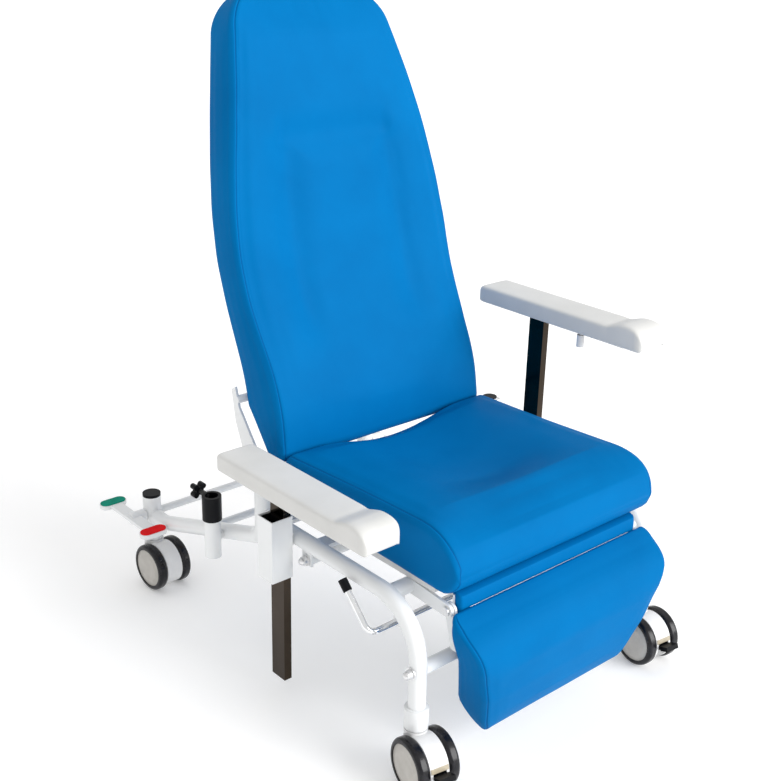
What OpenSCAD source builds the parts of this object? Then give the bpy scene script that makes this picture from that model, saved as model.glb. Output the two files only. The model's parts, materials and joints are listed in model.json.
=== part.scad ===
// Rest armchair on four casters, with reclining back, lifting legrest and height-adjustable arms.
// The chair faces -Y, +X is the sitter's left, the floor is Z = 0. All sizes are in millimetres.

/* [Side frame] */
// Half the width of the seat cushion
seat_half_w = 256; // [248:1:257]
// Room from the seat cushion's side to the axis of a side tube
side_room = 39; // [38:1:50]
// Distance from the middle of the chair to the axis of a side tube
side_x = seat_half_w + side_room;
// Diameter of the side tube
tube_d = 30; // [26:1:32]
// Wall of the side tube
tube_wall = 2; // [1.5:0.1:2.5]
// Diameter of the riser and the lower rear tube
rear_tube_d = 31; // [30.6:0.1:34]
// Height of the top run's axis
run_z = 317; // [305:1:325]
// Place of the front leg's axis, in front of the middle
leg_y = -418; // [-440:1:-400]
// Radius of the big bend above the front leg
leg_bend_r = 100; // [80:1:120]
// Place of the riser that carries the back
riser_y = 11; // [0:1:20]
// Height of the riser's top
riser_top = 407; // [405:1:410]
// Height at which the riser's bend starts, under the top run
riser_foot_z = 301; // [296:1:302]
// Radius of the bend below the riser
riser_bend_r = 38; // [34:1:50]
// Slope of the lower rear tube, in degrees
rear_slope = 18.6; // [17:0.1:20]
// Radius of the bend where the lower rear tube levels out
rear_bend_r = 80; // [60:1:100]

/* [Rear column and sockets] */
// Place of the rear column's axis
column_y = 418; // [400:1:440]
// Diameter of the rear column
column_d = 38; // [36:1:42]
// Wall of the rear column
column_wall = 3; // [2:0.5:4]
// Height of the column's top, under its cap
column_top = 199; // [190:1:215]
// Height of the end face above each caster
socket_foot = 101; // [99:1:103]
// Diameter of the front socket
socket_d = 42; // [40:1:46]
// Height of the front socket
socket_h = 38; // [34:1:42]
// Bore for a caster stem
stem_bore_d = 28; // [24:1:28]
// Depth of the stem bore
stem_bore_depth = 27; // [22:1:30]

/* [Cross members] */
// Diameter of the bolted cross tubes
cross_d = 24; // [20:1:26]
// Height of the lower front cross tube
low_cross_z = 208; // [195:1:225]
// Place of the middle cross bar
mid_cross_y = -130; // [-140:1:-115]
// Height of the middle cross bar
mid_cross_z = 288; // [284:1:290]
// Diameter of the front seat tube
seat_tube_d = 28; // [24:1:30]
// Place of the front seat tube, above the lever's shaft
seat_tube_y = -329; // [-340:1:-320]
// Diameter of the thin rear cross tube
rear_cross_d = 16; // [14:1:20]
// Place of the thin rear cross tube
rear_cross_y = 181; // [175:1:190]
// Thread diameter of the frame bolts
bolt_d = 10; // [8:1:12]
// Diameter of a washer
washer_d = 22; // [18:1:24]
// Thickness of a washer
washer_t = 2; // [1:0.5:3]
// Diameter of a dome nut
nut_d = 17; // [15:1:19]
// Height of a dome nut's hexagon
nut_h = 7; // [5:0.5:9]

/* [Armrests] */
// Distance from the axis of a side tube to the middle of an arm pad
pad_out = 33; // [30:1:45]
// Width of an arm pad
pad_w = 79; // [70:1:80]
// Length of an arm pad
pad_len = 418; // [380:1:440]
// Middle of the arm pad along the chair
pad_y = -154; // [-165:1:-140]
// Thickness of the arm pad's flat part
pad_t = 33; // [28:1:40]
// Height of the arm pad's underside at the lowest setting
pad_low_z = 416; // [414:1:425]
// How far the left arm is raised in the stored pose
left_raise = 197; // [150:1:200]
// Greatest travel of an arm
arm_travel = 200; // [200:1:210]
// Extra height of the hump at the front of the pad
hump_h = 10; // [4:1:16]
// Length of the hump
hump_len = 62; // [50:1:90]
// Width of the post, along the chair
post_w = 38; // [34:1:38]
// Thickness of the post
post_t = 16; // [14:1:16]
// Wall of the post
post_wall = 2; // [1.5:0.1:3]
// Height of the post's foot at the lowest setting
post_foot = 33; // [25:1:40]
// Middle of the post along the chair
post_y = -85; // [-95:1:-75]
// Gap between a side tube and its sleeve
sleeve_gap = 5; // [4:1:8]
// Width of the sleeve, across the chair
sleeve_w = 45; // [42:1:50]
// Depth of the sleeve, along the chair
sleeve_depth = 43; // [43:1:46]
// Wall of the sleeve
sleeve_wall = 2.2; // [2:0.1:2.3]
// Height of the sleeve's lower end
sleeve_foot = 247; // [240:1:255]
// Height of the sleeve
sleeve_h = 122; // [110:1:130]
// Thickness of the plate under an arm pad
plate_t = 6; // [4:1:6]
// Width of the plate under an arm pad
plate_w = 56; // [50:1:60]
// Length of the plate under an arm pad
plate_len = 314; // [300:1:340]
// Middle of the plate along the chair
plate_y = -160; // [-165:1:-150]
// Diameter of the release knob under a plate
release_d = 15; // [12:1:18]
// Length of the release knob
release_h = 24; // [16:1:24]
// Travel of the release knob
release_travel = 4; // [2:0.5:5]
// Place of the release knob along the chair
release_y = -207; // [-215:1:-195]

/* [Seat] */
// Height of the seat cushion's underside
seat_z = 333; // [330:1:336]
// Height of the cushion's side seams at the front
seat_front_z = 447; // [440:1:455]
// Height of the cushion's side seams at the rear
seat_rear_z = 428; // [420:1:434]
// Place of the seat's front
seat_front_y = -453; // [-456:1:-448]
// Place of the seat's rear
seat_rear_y = 4; // [-5:1:6]
// Depth of the dish in the seat
seat_dish = 26; // [0:1:35]
// How far the cushion's sides draw in
side_draw = 5; // [0:1:8]
// Thickness of the seat board
board_t = 12; // [10:1:15]
// Inset of the seat board's side from the seat cushion's
board_inset = 16; // [11:1:26]
// Front edge of the seat board
board_front_y = -392; // [-394:1:-385]
// Rear edge of the seat board
board_rear_y = -16; // [-30:1:-10]

/* [Backrest] */
// Height of the back pivot
back_pivot_z = 392; // [388:1:393]
// Lean of the backrest, in degrees
back_lean = 15.9; // [14:0.1:18]
// Length of the backrest from its pivot to its top
back_len = 872; // [840:1:900]
// Inset of the backrest's side from the seat cushion's
back_inset = 1; // [0:1:15]
// Distance of the back's rear face behind the pivot
back_rear_v = 80; // [78:1:84]
// Thickness of the backrest at the lumbar curve
lumbar_t = 108; // [95:1:112]
// Depth of the sewn channels in the backrest
channel_depth = 5; // [0:1:10]
// Greatest recline from the stored pose, in degrees
recline_max = 50; // [40:1:50]
// Diameter of the back pivot pin
pivot_d = 12; // [10:1:14]

/* [Legrest] */
// Place of the legrest hinge
leg_hinge_y = -422; // [-424:1:-420]
// Height of the legrest hinge
leg_hinge_z = 300; // [298:1:301]
// Overhang of the legrest's top past the side of the seat cushion
leg_overhang = 10; // [0:1:12]
// Taper of the legrest's side from its top to its foot
leg_taper = 86; // [60:1:106]
// Height of the legrest's top
leg_top_z = 304; // [296:1:304]
// Height of the legrest's foot
leg_foot_z = 54; // [46:1:80]
// Thickness of the legrest cushion
leg_t = 68; // [60:1:68]
// Inset of the infill strip's end from the seat cushion's side
strip_inset = 31; // [30:1:41]
// Height of the infill strip
strip_h = 33; // [28:1:33]
// Thickness of the infill strip
strip_t = 13; // [10:1:14]
// Greatest lift of the legrest, in degrees
legrest_max = 80; // [70:1:80]

/* [Release lever] */
// Diameter of the lever's rod
lever_d = 12; // [10:1:12]
// Height of the lever's shaft
lever_z = 244; // [240:1:248]
// Distance from the axis of a side tube to the lever's plane
lever_out = 30; // [28:1:33]
// Length of the lever from its shaft to the end of its grip
lever_len = 101; // [90:1:110]
// Rise of the lever at rest, in degrees
lever_rise = 45; // [40:1:50]

/* [Pole holder] */
// Place of the holder along the chair
holder_y = 129; // [120:1:140]
// Distance from the axis of a side tube to the holder's axis
holder_out = 35; // [35:1:39]
// Diameter of the holder tube
holder_d = 32; // [30:1:32]
// Bore for the pole
pole_bore_d = 25.4; // [20:0.2:26]
// Height of the holder's lower end
holder_foot = 193; // [186:1:200]
// Height of the holder's upper end, under the bush
holder_top = 284; // [276:1:290]
// Diameter of the bush
bush_d = 37.5; // [37:0.5:40]
// Height of the bush above the holder tube
bush_h = 38; // [34:1:60]
// Diameter of the star knob
star_d = 34; // [30:1:40]

/* [Central lock] */
// Height of the lock shaft
lock_z = 159; // [156:1:165]
// Diameter of the lock shaft
lock_d = 16; // [14:1:18]
// Diameter of the pedal hub
hub_d = 26; // [24:1:28]
// Distance from the lock shaft to the middle of a pedal pad
pedal_reach = 83; // [75:1:95]
// Length of a pedal pad, across the chair
pedal_len = 60; // [50:1:62]
// Width of a pedal pad
pedal_w = 30; // [26:1:34]

/* [Casters] */
// Diameter of a caster wheel
wheel_d = 100; // [96:1:100]
// Thickness of a caster wheel
wheel_t = 21; // [18:1:21]
// Distance from the middle of a caster to the middle of a wheel
wheel_x = 29; // [28.5:0.5:32]
// Distance from the stem's axis to the axle
trail = 31; // [28:1:36]
// Diameter of the axle
axle_d = 10; // [8:1:12]
// Width of the housing between the wheels
housing_w = 36; // [30:1:36]
// Radius of the housing round the axle
housing_r = 46; // [40:1:47]
// Diameter of the housing's neck
neck_d = 41; // [38:1:42]
// Diameter of the swivel pin
swivel_d = 20; // [16:1:20]
// Turn of each caster in the stored pose: front right, front left, rear right, rear left
caster_turns = [-10, -7, 3, -4];

/* [Gas springs] */
// Diameter of a gas spring's cylinder
gas_d = 20; // [18:1:22]
// Diameter of a gas spring's rod
gas_rod_d = 8; // [7:0.5:9]
// Distance from the middle of the chair to the back's gas spring
back_gas_x = 70; // [40:1:100]
// Distance from the middle of the chair to the legrest's gas spring
leg_gas_x = 60; // [40:1:100]

/* [Hidden] */

$fn = 64;
// Clearance of a running fit, per side
fit = 0.05;
// Gap between pieces that lie close but don't touch
pad_x = side_x + pad_out;
board_half_w = seat_half_w - board_inset;
back_half_w = seat_half_w - back_inset;
leg_half_w = seat_half_w + leg_overhang;
leg_foot_half_w = leg_half_w - leg_taper;
strip_half_w = seat_half_w - strip_inset;
lever_x = side_x + lever_out;
holder_x = side_x + holder_out;
gap = 0.3;
// Overrun of a cut
over = 1;

// Sizes worked out from the driving ones
tube_r = tube_d / 2;
run_start_y = leg_y + leg_bend_r;
bend_end_y = riser_y + riser_bend_r * (1 - sin(rear_slope));
bend_end_z = riser_foot_z - riser_bend_r * cos(rear_slope);
level_drop = 4;
level_z = lock_z - level_drop;
rear_bend_run = rear_bend_r * sin(rear_slope);
rear_bend_drop = rear_bend_r * (1 - cos(rear_slope));
slope_len = (bend_end_z - level_z - rear_bend_drop) / sin(rear_slope);
slope_end_y = bend_end_y + slope_len * cos(rear_slope);
level_start_y = slope_end_y + rear_bend_run;
inner_face_x = side_x - tube_r;
outer_face_x = side_x + tube_r;
riser_in_x = side_x - rear_tube_d / 2;
riser_out_x = side_x + rear_tube_d / 2;
sleeve_x = outer_face_x + sleeve_gap;
post_x = sleeve_x + sleeve_wall + gap + post_t / 2;
plate_z = pad_low_z - plate_t;
seat_tube_z = seat_z - gap - board_t - seat_tube_d / 2;
wheel_r = wheel_d / 2;

// Fixed end of a gas spring: pin, eye and the ears beside it
gas_pin_d = 8;
gas_eye_t = 10;
gas_eye_d = 20;
gas_ear_t = 4;

// How far the arm of a side is raised: -1 is the sitter's right, 1 the left
function arm_raise(side) = side > 0 ? left_raise : 0;

// A bent round bar: it starts along +Z at the origin and turns towards +X by angle
module bend(r, angle, d) {
    translate([r, 0, 0])
        rotate([90, 0, 0])
            rotate([0, 0, 180 - angle])
                rotate_extrude(angle = angle, $fn = 96)
                    translate([r, 0])
                        circle(d = d);
}

// A rod or drum along +X between two places
module bar_x(from, to, d) {
    translate([from, 0, 0])
        rotate([0, 90, 0])
            cylinder(h = to - from, d = d);
}

// Places its children in the Y-Z plane, so that +Z becomes +X
module across(x, y, z) {
    translate([x, y, z])
        rotate([90, 0, 90])
            children();
}

// Frame of the weldment's extras
tab_w = 30;
tab_front_y = -158;
tab_rear_y = -44;
tab_ys = [tab_front_y, tab_rear_y];
tab_t = 8;
tab_lap = 12;
tab_from_x = board_half_w - tab_lap;
lug_t = 5;
// The lug stands on the outer half of the tube
lug_x = 2;
lug_depth = 26;
column_bore_d = lock_d + 2 * fit;
socket_lip = 1.5;
weld_block_w = 24;
weld_block_h = 24;

// A bend is a hair thicker than the straight pieces that run a little way into it
swell = 0.1;
lap = 1;

// The bent tube of a side frame as a bar of diameter d: once for its outside, once for its bore
module leg_and_run(d, from_z, run_end_y) {
    translate([0, leg_y, from_z])
        cylinder(h = run_z - leg_bend_r + lap - from_z, d = d);
    translate([0, leg_y, run_z - leg_bend_r])
        rotate([0, 0, 90])
            bend(leg_bend_r, 90, d + swell);
    translate([0, run_start_y - lap, run_z])
        rotate([-90, 0, 0])
            cylinder(h = run_end_y - run_start_y + lap, d = d);
}

module riser_and_rear_tube(d, top, rear_end_y) {
    translate([0, riser_y, riser_foot_z - lap])
        cylinder(h = top - riser_foot_z + lap, d = d);
    translate([0, riser_y, riser_foot_z])
        rotate([0, 0, 90])
            mirror([0, 0, 1])
                bend(riser_bend_r, 90 - rear_slope, d + swell);
    translate([0, bend_end_y, bend_end_z])
        rotate([-90 - rear_slope, 0, 0])
            translate([0, 0, -lap])
                cylinder(h = slope_len + 2 * lap, d = d);
    translate([0, slope_end_y, level_z + rear_bend_drop])
        rotate([-90 - rear_slope, 0, 0])
            rotate([0, 0, 90])
                mirror([1, 0, 0])
                    bend(rear_bend_r, rear_slope, d + swell);
    translate([0, level_start_y - lap, level_z])
        rotate([-90, 0, 0])
            cylinder(h = rear_end_y - level_start_y + lap, d = d);
}

// One welded side frame, modelled on the sitter's right and mirrored for the left
module side_frame() {
    difference() {
        union() {
            leg_and_run(tube_d, socket_foot + stem_bore_depth, riser_y);
            riser_and_rear_tube(rear_tube_d, riser_top, column_y);
            // rear column
            translate([0, column_y, socket_foot])
                cylinder(h = column_top - socket_foot, d = column_d);
            // front socket
            translate([0, leg_y, socket_foot])
                cylinder(h = socket_h - socket_lip, d = socket_d);
            translate([0, leg_y, socket_foot + socket_h - socket_lip])
                cylinder(h = socket_lip, d = socket_d - 2 * socket_lip);
            // block between the run and the sleeve
            translate([-tube_r - sleeve_gap, post_y - weld_block_w / 2, run_z - weld_block_h / 2])
                cube([sleeve_gap + tube_wall * 2, weld_block_w, weld_block_h]);
            // tabs under the seat board
            for (y = tab_ys)
                translate([tube_r - tube_wall * 2, y, seat_z - gap - board_t - tab_t])
                    cube([inner_face_x - tab_from_x + tube_wall * 2, tab_w, tab_t]);
            // lug of the middle cross bar
            translate([-lug_x - lug_t, mid_cross_y - lug_depth / 2, mid_cross_z - bolt_d])
                cube([lug_t, lug_depth, run_z - tube_r + tube_wall * 0.7 - mid_cross_z + bolt_d]);
        }
        // bores of the tubes
        leg_and_run(tube_d - 2 * tube_wall, socket_foot + stem_bore_depth + column_wall, riser_y - tube_r);
        riser_and_rear_tube(tube_d - 2 * tube_wall, riser_top + over, column_y - column_d / 2);
        translate([0, column_y, socket_foot + stem_bore_depth + column_wall])
            cylinder(h = column_top, d = column_d - 2 * column_wall);
        // bore of each caster stem
        for (y = [leg_y, column_y])
            translate([0, y, socket_foot - over])
                cylinder(h = stem_bore_depth + over, d = stem_bore_d);
        // bore of the lock shaft
        across(-column_d, column_y, lock_z)
            cylinder(h = 2 * column_d, d = column_bore_d);
        // bore of the back pivot
        across(-tube_d, riser_y, back_pivot_z)
            cylinder(h = 2 * tube_d, d = pivot_d + 2 * fit);
        // bore of the lower front bolt
        across(-tube_d, leg_y, low_cross_z)
            cylinder(h = 2 * tube_d, d = bolt_d + 2 * fit);
        // bore of the middle bolt
        across(-lug_x - lug_t - over, mid_cross_y, mid_cross_z)
            cylinder(h = lug_t + 2 * over, d = bolt_d + 2 * fit);
    }
}

module side_frame_right() {
    color("white")
        translate([-side_x, 0, 0])
            side_frame();
}

module side_frame_left() {
    color("white")
        mirror([1, 0, 0])
            translate([-side_x, 0, 0])
                side_frame();
}

// A cross tube between two faces, threaded for the bolts at both ends
thread_depth = 30;
module threaded_cross(half_len, d) {
    difference() {
        bar_x(-half_len, half_len, d);
        for (side = [-1, 1])
            translate([side * half_len, 0, 0])
                bar_x(-thread_depth, thread_depth, bolt_d + 2 * fit);
    }
}

// Room that a cross piece leaves round the side tubes
module tube_room() {
    for (side = [-1, 1])
        translate([side * side_x, 0, 0]) {
            leg_and_run(tube_d + 2 * gap, socket_foot, riser_y);
            riser_and_rear_tube(rear_tube_d + 2 * gap, riser_top, column_y);
        }
}

module low_cross_tube() {
    color("white")
        difference() {
            translate([0, leg_y, low_cross_z])
                threaded_cross(side_x, cross_d);
            tube_room();
        }
}

module mid_cross_bar() {
    color("white")
        difference() {
            union() {
                translate([0, mid_cross_y, mid_cross_z])
                    threaded_cross(side_x + lug_x - gap / 2, cross_d);
                // lug of the legrest's gas spring
                translate([leg_gas_x, 0, 0])
                    for (side = [-1, 1])
                        gas_ear(side);
            }
            across(leg_gas_x - gas_d, leg_gas_y, leg_gas_z)
                cylinder(h = 2 * gas_d, d = gas_pin_d + 2 * fit);
        }
}

// One ear that carries the legrest spring's rear pin, beside the spring's eye
module gas_ear(side) {
    translate([side > 0 ? gas_eye_t / 2 + gap : -gas_eye_t / 2 - gap - gas_ear_t, 0, 0])
        across(0, 0, 0)
            linear_extrude(gas_ear_t)
                polygon([
                    [mid_cross_y - cross_d / 2, mid_cross_z],
                    [mid_cross_y, mid_cross_z],
                    [mid_cross_y, mid_cross_z - cross_d / 2],
                    [leg_gas_y + gas_eye_d / 2, leg_gas_z - gas_eye_d / 2],
                    [leg_gas_y - gas_eye_d / 2, leg_gas_z - gas_eye_d / 2],
                    [leg_gas_y - gas_eye_d / 2, leg_gas_z + gas_eye_d / 2],
                ]);
}

// Front seat tube with the legrest's hinge lugs and the hangers of the release lever
hinge_lug_t = 6;
hinge_lug_in = 9;
hinge_lug_x = strip_half_w + hinge_lug_in;
hinge_lug_h = 24;
leg_pin_d = 10;
hanger_t = 5;
hanger_inset = 33;
hanger_mid_x = -20;
hanger_xs = [hanger_inset - side_x, hanger_mid_x];
hanger_w = 22;
module seat_tube_front() {
    color("white")
        difference() {
            union() {
                translate([0, seat_tube_y, seat_tube_z])
                    bar_x(-side_x, side_x, seat_tube_d);
                for (side = [-1, 1])
                    translate([side > 0 ? hinge_lug_x : -hinge_lug_x - hinge_lug_t, 0, 0])
                        across(0, 0, 0)
                            linear_extrude(hinge_lug_t)
                                union() {
                                    polygon([
                                        [leg_hinge_y, leg_hinge_z - hinge_lug_h / 2],
                                        [seat_tube_y, seat_tube_z - seat_tube_d / 2],
                                        [seat_tube_y, seat_tube_z + seat_tube_d / 2 - fit],
                                        [leg_hinge_y, leg_hinge_z + hinge_lug_h / 2],
                                    ]);
                                    translate([leg_hinge_y, leg_hinge_z])
                                        circle(d = hinge_lug_h);
                                }
                for (x = hanger_xs)
                    across(x, 0, 0)
                        linear_extrude(hanger_t)
                            union() {
                                translate([seat_tube_y - hanger_w / 2, lever_z])
                                    square([hanger_w, seat_tube_z - lever_z]);
                                translate([seat_tube_y, lever_z])
                                    circle(d = hanger_w);
                            }
            }
            tube_room();
            for (x = hanger_xs)
                across(x - over, seat_tube_y, lever_z)
                    cylinder(h = hanger_t + 2 * over, d = lever_d + 2 * fit);
            for (side = [-1, 1])
                across(side > 0 ? hinge_lug_x - over : -hinge_lug_x - hinge_lug_t - over, leg_hinge_y, leg_hinge_z)
                    cylinder(h = hinge_lug_t + 2 * over, d = leg_pin_d + 2 * fit);
        }
}

// Thin rear cross tube with the ears of the back's gas spring
rear_cross_lift = 7;
back_base_lift = 18;
rear_cross_z = bend_end_z - (rear_cross_y - bend_end_y) * tan(rear_slope) + rear_cross_lift;
back_base_y = rear_cross_y;
back_base_z = rear_cross_z + back_base_lift;
module rear_cross_tube() {
    color("white")
        difference() {
            union() {
                translate([0, rear_cross_y, rear_cross_z])
                    bar_x(-side_x, side_x, rear_cross_d);
                for (side = [-1, 1])
                    across(-back_gas_x + (side > 0 ? gas_eye_t / 2 + gap : -gas_eye_t / 2 - gap - gas_ear_t), 0, 0)
                        linear_extrude(gas_ear_t)
                            union() {
                                translate([back_base_y, back_base_z])
                                    circle(d = gas_eye_d);
                                translate([back_base_y - gas_eye_d / 2, rear_cross_z])
                                    square([gas_eye_d, back_base_z - rear_cross_z]);
                            }
            }
            tube_room();
            across(-back_gas_x - gas_d, back_base_y, back_base_z)
                cylinder(h = 2 * gas_d, d = gas_pin_d + 2 * fit);
        }
}

// Width of the dome as a share of the nut's
dome_share = 0.9;

// A dome nut with its washer, standing on the plane X = 0 and pointing to +X
module dome_nut() {
    bar_x(0, washer_t, washer_d);
    bar_x(washer_t, washer_t + nut_h, nut_d);
    translate([washer_t + nut_h, 0, 0])
        difference() {
            sphere(d = nut_d * dome_share);
            translate([-nut_d, -nut_d, -nut_d])
                cube([nut_d, 2 * nut_d, 2 * nut_d]);
        }
}

module frame_bolts() {
    color("gainsboro")
        for (side = [-1, 1]) {
            mirror([side > 0 ? 0 : 1, 0, 0])
                translate([outer_face_x + gap / 2, leg_y, low_cross_z]) {
                    dome_nut();
                    bar_x(-tube_r - thread_depth + over, 0, bolt_d);
                }
            mirror([side > 0 ? 0 : 1, 0, 0])
                translate([side_x + lug_x + lug_t + gap / 2, mid_cross_y, mid_cross_z]) {
                    dome_nut();
                    bar_x(-lug_t - thread_depth + over, 0, bolt_d);
                }
        }
}

cap_t = 6;
cap_plug = 12;
module column_caps() {
    color([0.08, 0.08, 0.09])
        for (side = [-1, 1])
            translate([side * side_x, column_y, column_top])
                union() {
                    cylinder(h = cap_t, d = column_d);
                    translate([0, 0, -cap_plug])
                        cylinder(h = cap_plug, d = column_d - 2 * column_wall - 2 * fit);
                }
}

plug_t = 2;
module riser_plugs() {
    color([0.08, 0.08, 0.09])
        for (side = [-1, 1])
            translate([side * side_x, riser_y, riser_top])
                union() {
                    cylinder(h = plug_t, d = tube_d);
                    translate([0, 0, -plug_t * 2])
                        cylinder(h = plug_t * 2, d = tube_d - 2 * tube_wall - 2 * fit);
                }
}

// Square sleeves in which the posts slide
module sleeves() {
    color("white")
        for (side = [-1, 1])
            mirror([side > 0 ? 0 : 1, 0, 0])
                translate([sleeve_x, post_y - sleeve_depth / 2, sleeve_foot])
                    difference() {
                        cube([sleeve_w, sleeve_depth, sleeve_h]);
                        translate([sleeve_wall, sleeve_wall, -over])
                            cube([sleeve_w - 2 * sleeve_wall, sleeve_depth - 2 * sleeve_wall, sleeve_h + 2 * over]);
                    }
}

// Black guide blocks that fill the outer half of each sleeve and carry the catch
guide_drop = 3;
guide_wall = 3;
guide_w = sleeve_w - 2 * sleeve_wall - 2 * gap - post_t;
guide_depth = sleeve_depth - 2 * sleeve_wall - 2 * fit;
module sleeve_guides() {
    color([0.08, 0.08, 0.09])
        for (side = [-1, 1])
            mirror([side > 0 ? 0 : 1, 0, 0])
                translate([sleeve_x + sleeve_w - sleeve_wall - guide_w, post_y - guide_depth / 2, sleeve_foot + guide_drop])
                    difference() {
                        cube([guide_w - fit, guide_depth, sleeve_h - 2 * guide_drop]);
                        translate([guide_wall, guide_wall, sleeve_h - 2 * guide_drop - sleeve_h / 3])
                            cube([guide_w - 2 * guide_wall, guide_depth - 2 * guide_wall, sleeve_h]);
                    }
}

// Flat polished post, open at its foot
module post(side) {
    translate([side * post_x - post_t / 2, post_y - post_w / 2, post_foot + arm_raise(side)])
        difference() {
            cube([post_t, post_w, plate_z - post_foot]);
            translate([post_wall, post_wall, -over])
                cube([post_t - 2 * post_wall, post_w - 2 * post_wall, plate_z - post_foot + over - post_wall]);
        }
}

module post_right() {
    color("silver") post(-1);
}

module post_left() {
    color("silver") post(1);
}

// Plate that joins the post to the pad, with the bore of the release knob
release_inset = 2;
release_x = pad_x - plate_w / 2 + release_d / 2 + release_inset;
module arm_plate(side) {
    translate([0, 0, arm_raise(side)])
        difference() {
            translate([side * pad_x - plate_w / 2, plate_y - plate_len / 2, plate_z])
                cube([plate_w, plate_len, plate_t]);
            translate([side * release_x, release_y, plate_z - over])
                cylinder(h = plate_t + 2 * over, d = stem_d + 2 * fit);
        }
}

module arm_plate_right() {
    color([0.1, 0.1, 0.11]) arm_plate(-1);
}

module arm_plate_left() {
    color([0.1, 0.1, 0.11]) arm_plate(1);
}

// White push knob that frees the arm's catch
stem_d = 7;
module release_knob(side) {
    translate([side * release_x, release_y, plate_z + arm_raise(side)])
        union() {
            translate([0, 0, -release_h - release_travel])
                cylinder(h = release_h, d = release_d);
            translate([0, 0, -release_travel - over])
                cylinder(h = release_travel + over + plate_t - release_travel - gap, d = stem_d);
        }
}

module release_knob_right() {
    color("whitesmoke") release_knob(-1);
}

module release_knob_left() {
    color("whitesmoke") release_knob(1);
}

// Closed skin over equal rings of points; the ends are closed round their middles
function mean(points) = [for (axis = [0:2]) sum([for (p = points) p[axis]]) / len(points)];
function sum(values, i = 0) = i < len(values) ? values[i] + sum(values, i + 1) : 0;
module loft(rings) {
    count = len(rings);
    n = len(rings[0]);
    points = concat([for (r = rings) for (p = r) p], [mean(rings[0]), mean(rings[count - 1])]);
    sides = [for (i = [0:count - 2]) for (j = [0:n - 1])
        let (a = i * n + j, b = i * n + (j + 1) % n, c = a + n, d = b + n)
        for (face = [[a, b, d], [a, d, c]]) face];
    start = [for (j = [0:n - 1]) [count * n, (j + 1) % n, j]];
    finish = [for (j = [0:n - 1]) [count * n + 1, (count - 1) * n + j, (count - 1) * n + (j + 1) % n]];
    polyhedron(points = points, faces = concat(sides, start, finish));
}

// Rounded power of a cosine or sine, which makes a ring a soft rectangle
function soft(value, power) = sign(value) * pow(abs(value), power);
// Height of a quarter round of radius r at a distance d from its end
function round_share(d, r, power) = d >= r ? 1 : pow(max(0, 1 - pow(1 - d / r, power)), 1 / power);
// Distance of the first ring of a skin from its end
tip = 0.8;
// Smooth step from 0 to 1
function ease(t) = let (s = min(1, max(0, t))) s * s * (3 - 2 * s);
// Value between the rows of a table of [share, value]
function between(table, s) = lookup(s, table);

// Molded arm pad: rings along the chair, with a hump at the front
pad_rings = 20;
pad_points = 24;
pad_nose = 16;
pad_front_round = 34;
function pad_ring(side, s) = let (
    d = s * pad_len,
    y = pad_y + pad_len / 2 - d,
    edge = min(d, pad_len - d) + tip,
    over_front = round_share(pad_len - d + tip, pad_front_round, 2.2),
    shrink = round_share(edge, pad_nose, 2),
    hump = hump_h * ease((d - pad_len + hump_len * 1.35) / (hump_len * 0.6)),
    high = pad_low_z + (pad_t + hump) * (0.55 + 0.45 * shrink) * (0.35 + 0.65 * over_front),
    low = pad_low_z + pad_t * 0.12 * (1 - shrink),
    half_w = pad_w / 2 * (0.8 + 0.2 * shrink))
    [for (j = [0:pad_points - 1]) let (a = 360 * (j + 0.5) / pad_points)
        [side * pad_x + half_w * soft(cos(a), 0.45), y,
            (high + low) / 2 + (high - low) / 2 * soft(sin(a), 0.45) + arm_raise(side)]];
// Shares along the pad, closer at its ends
function end_shares(n) = [for (i = [0:n - 1]) (1 - cos(180 * i / (n - 1))) / 2];

module arm_pad(side) {
    loft([for (s = end_shares(pad_rings)) pad_ring(side, s)]);
}

module arm_pad_right() {
    color([0.86, 0.86, 0.83]) arm_pad(-1);
}

module arm_pad_left() {
    color([0.86, 0.86, 0.83]) arm_pad(1);
}

module seat_board() {
    color("burlywood")
        translate([-board_half_w, board_front_y, seat_z - gap - board_t])
            cube([2 * board_half_w, board_rear_y - board_front_y, board_t]);
}

// Seat cushion: rings along the chair from the rear to the rolled front
seat_rings = 26;
seat_points = 44;
seat_nose_z = 374;
seat_roll = 96;
seat_under_roll = 44;
seat_rear_roll = 46;
seat_corner = 34;
seat_rear_draw = 7;
dish_half_w_share = 0.62;
function seat_ring(s) = let (
    depth = seat_rear_y - seat_front_y,
    y = seat_rear_y - s * depth,
    to_front = (1 - s) * depth + tip,
    to_rear = s * depth + tip,
    seam = seat_rear_z + (seat_front_z - seat_rear_z) * s,
    over_front = round_share(to_front, seat_roll, 2.2),
    over_rear = round_share(to_rear, seat_rear_roll, 2),
    high = seat_nose_z + (seam - seat_nose_z) * over_front - (seam - seat_nose_z) * 0.5 * (1 - over_rear),
    low = seat_nose_z - (seat_nose_z - seat_z) * round_share(to_front, seat_under_roll, 2) * (0.92 + 0.08 * over_rear),
    half_w = (seat_half_w - side_draw * sin(180 * s)) * (1 - 0.04 * (1 - round_share(to_front, seat_corner, 2)))
        - seat_rear_draw * (1 - round_share(to_rear, seat_corner, 2)))
    [for (j = [0:seat_points - 1]) let (
        a = 360 * (j + 0.5) / seat_points,
        x = half_w * soft(cos(a), 0.32),
        z = (high + low) / 2 + (high - low) / 2 * soft(sin(a), 0.32),
        dish = seat_dish * pow(max(0, 1 - pow(x / (half_w * dish_half_w_share), 2)), 2)
            * ease(to_rear / (depth * 0.25)) * ease((to_front - depth * 0.18) / (depth * 0.3)))
        [x, y, sin(a) > 0 ? z - dish : z]];

module seat_cushion() {
    color([0.0, 0.5, 0.8])
        loft([for (s = end_shares(seat_rings)) seat_ring(s)]);
}

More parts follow.
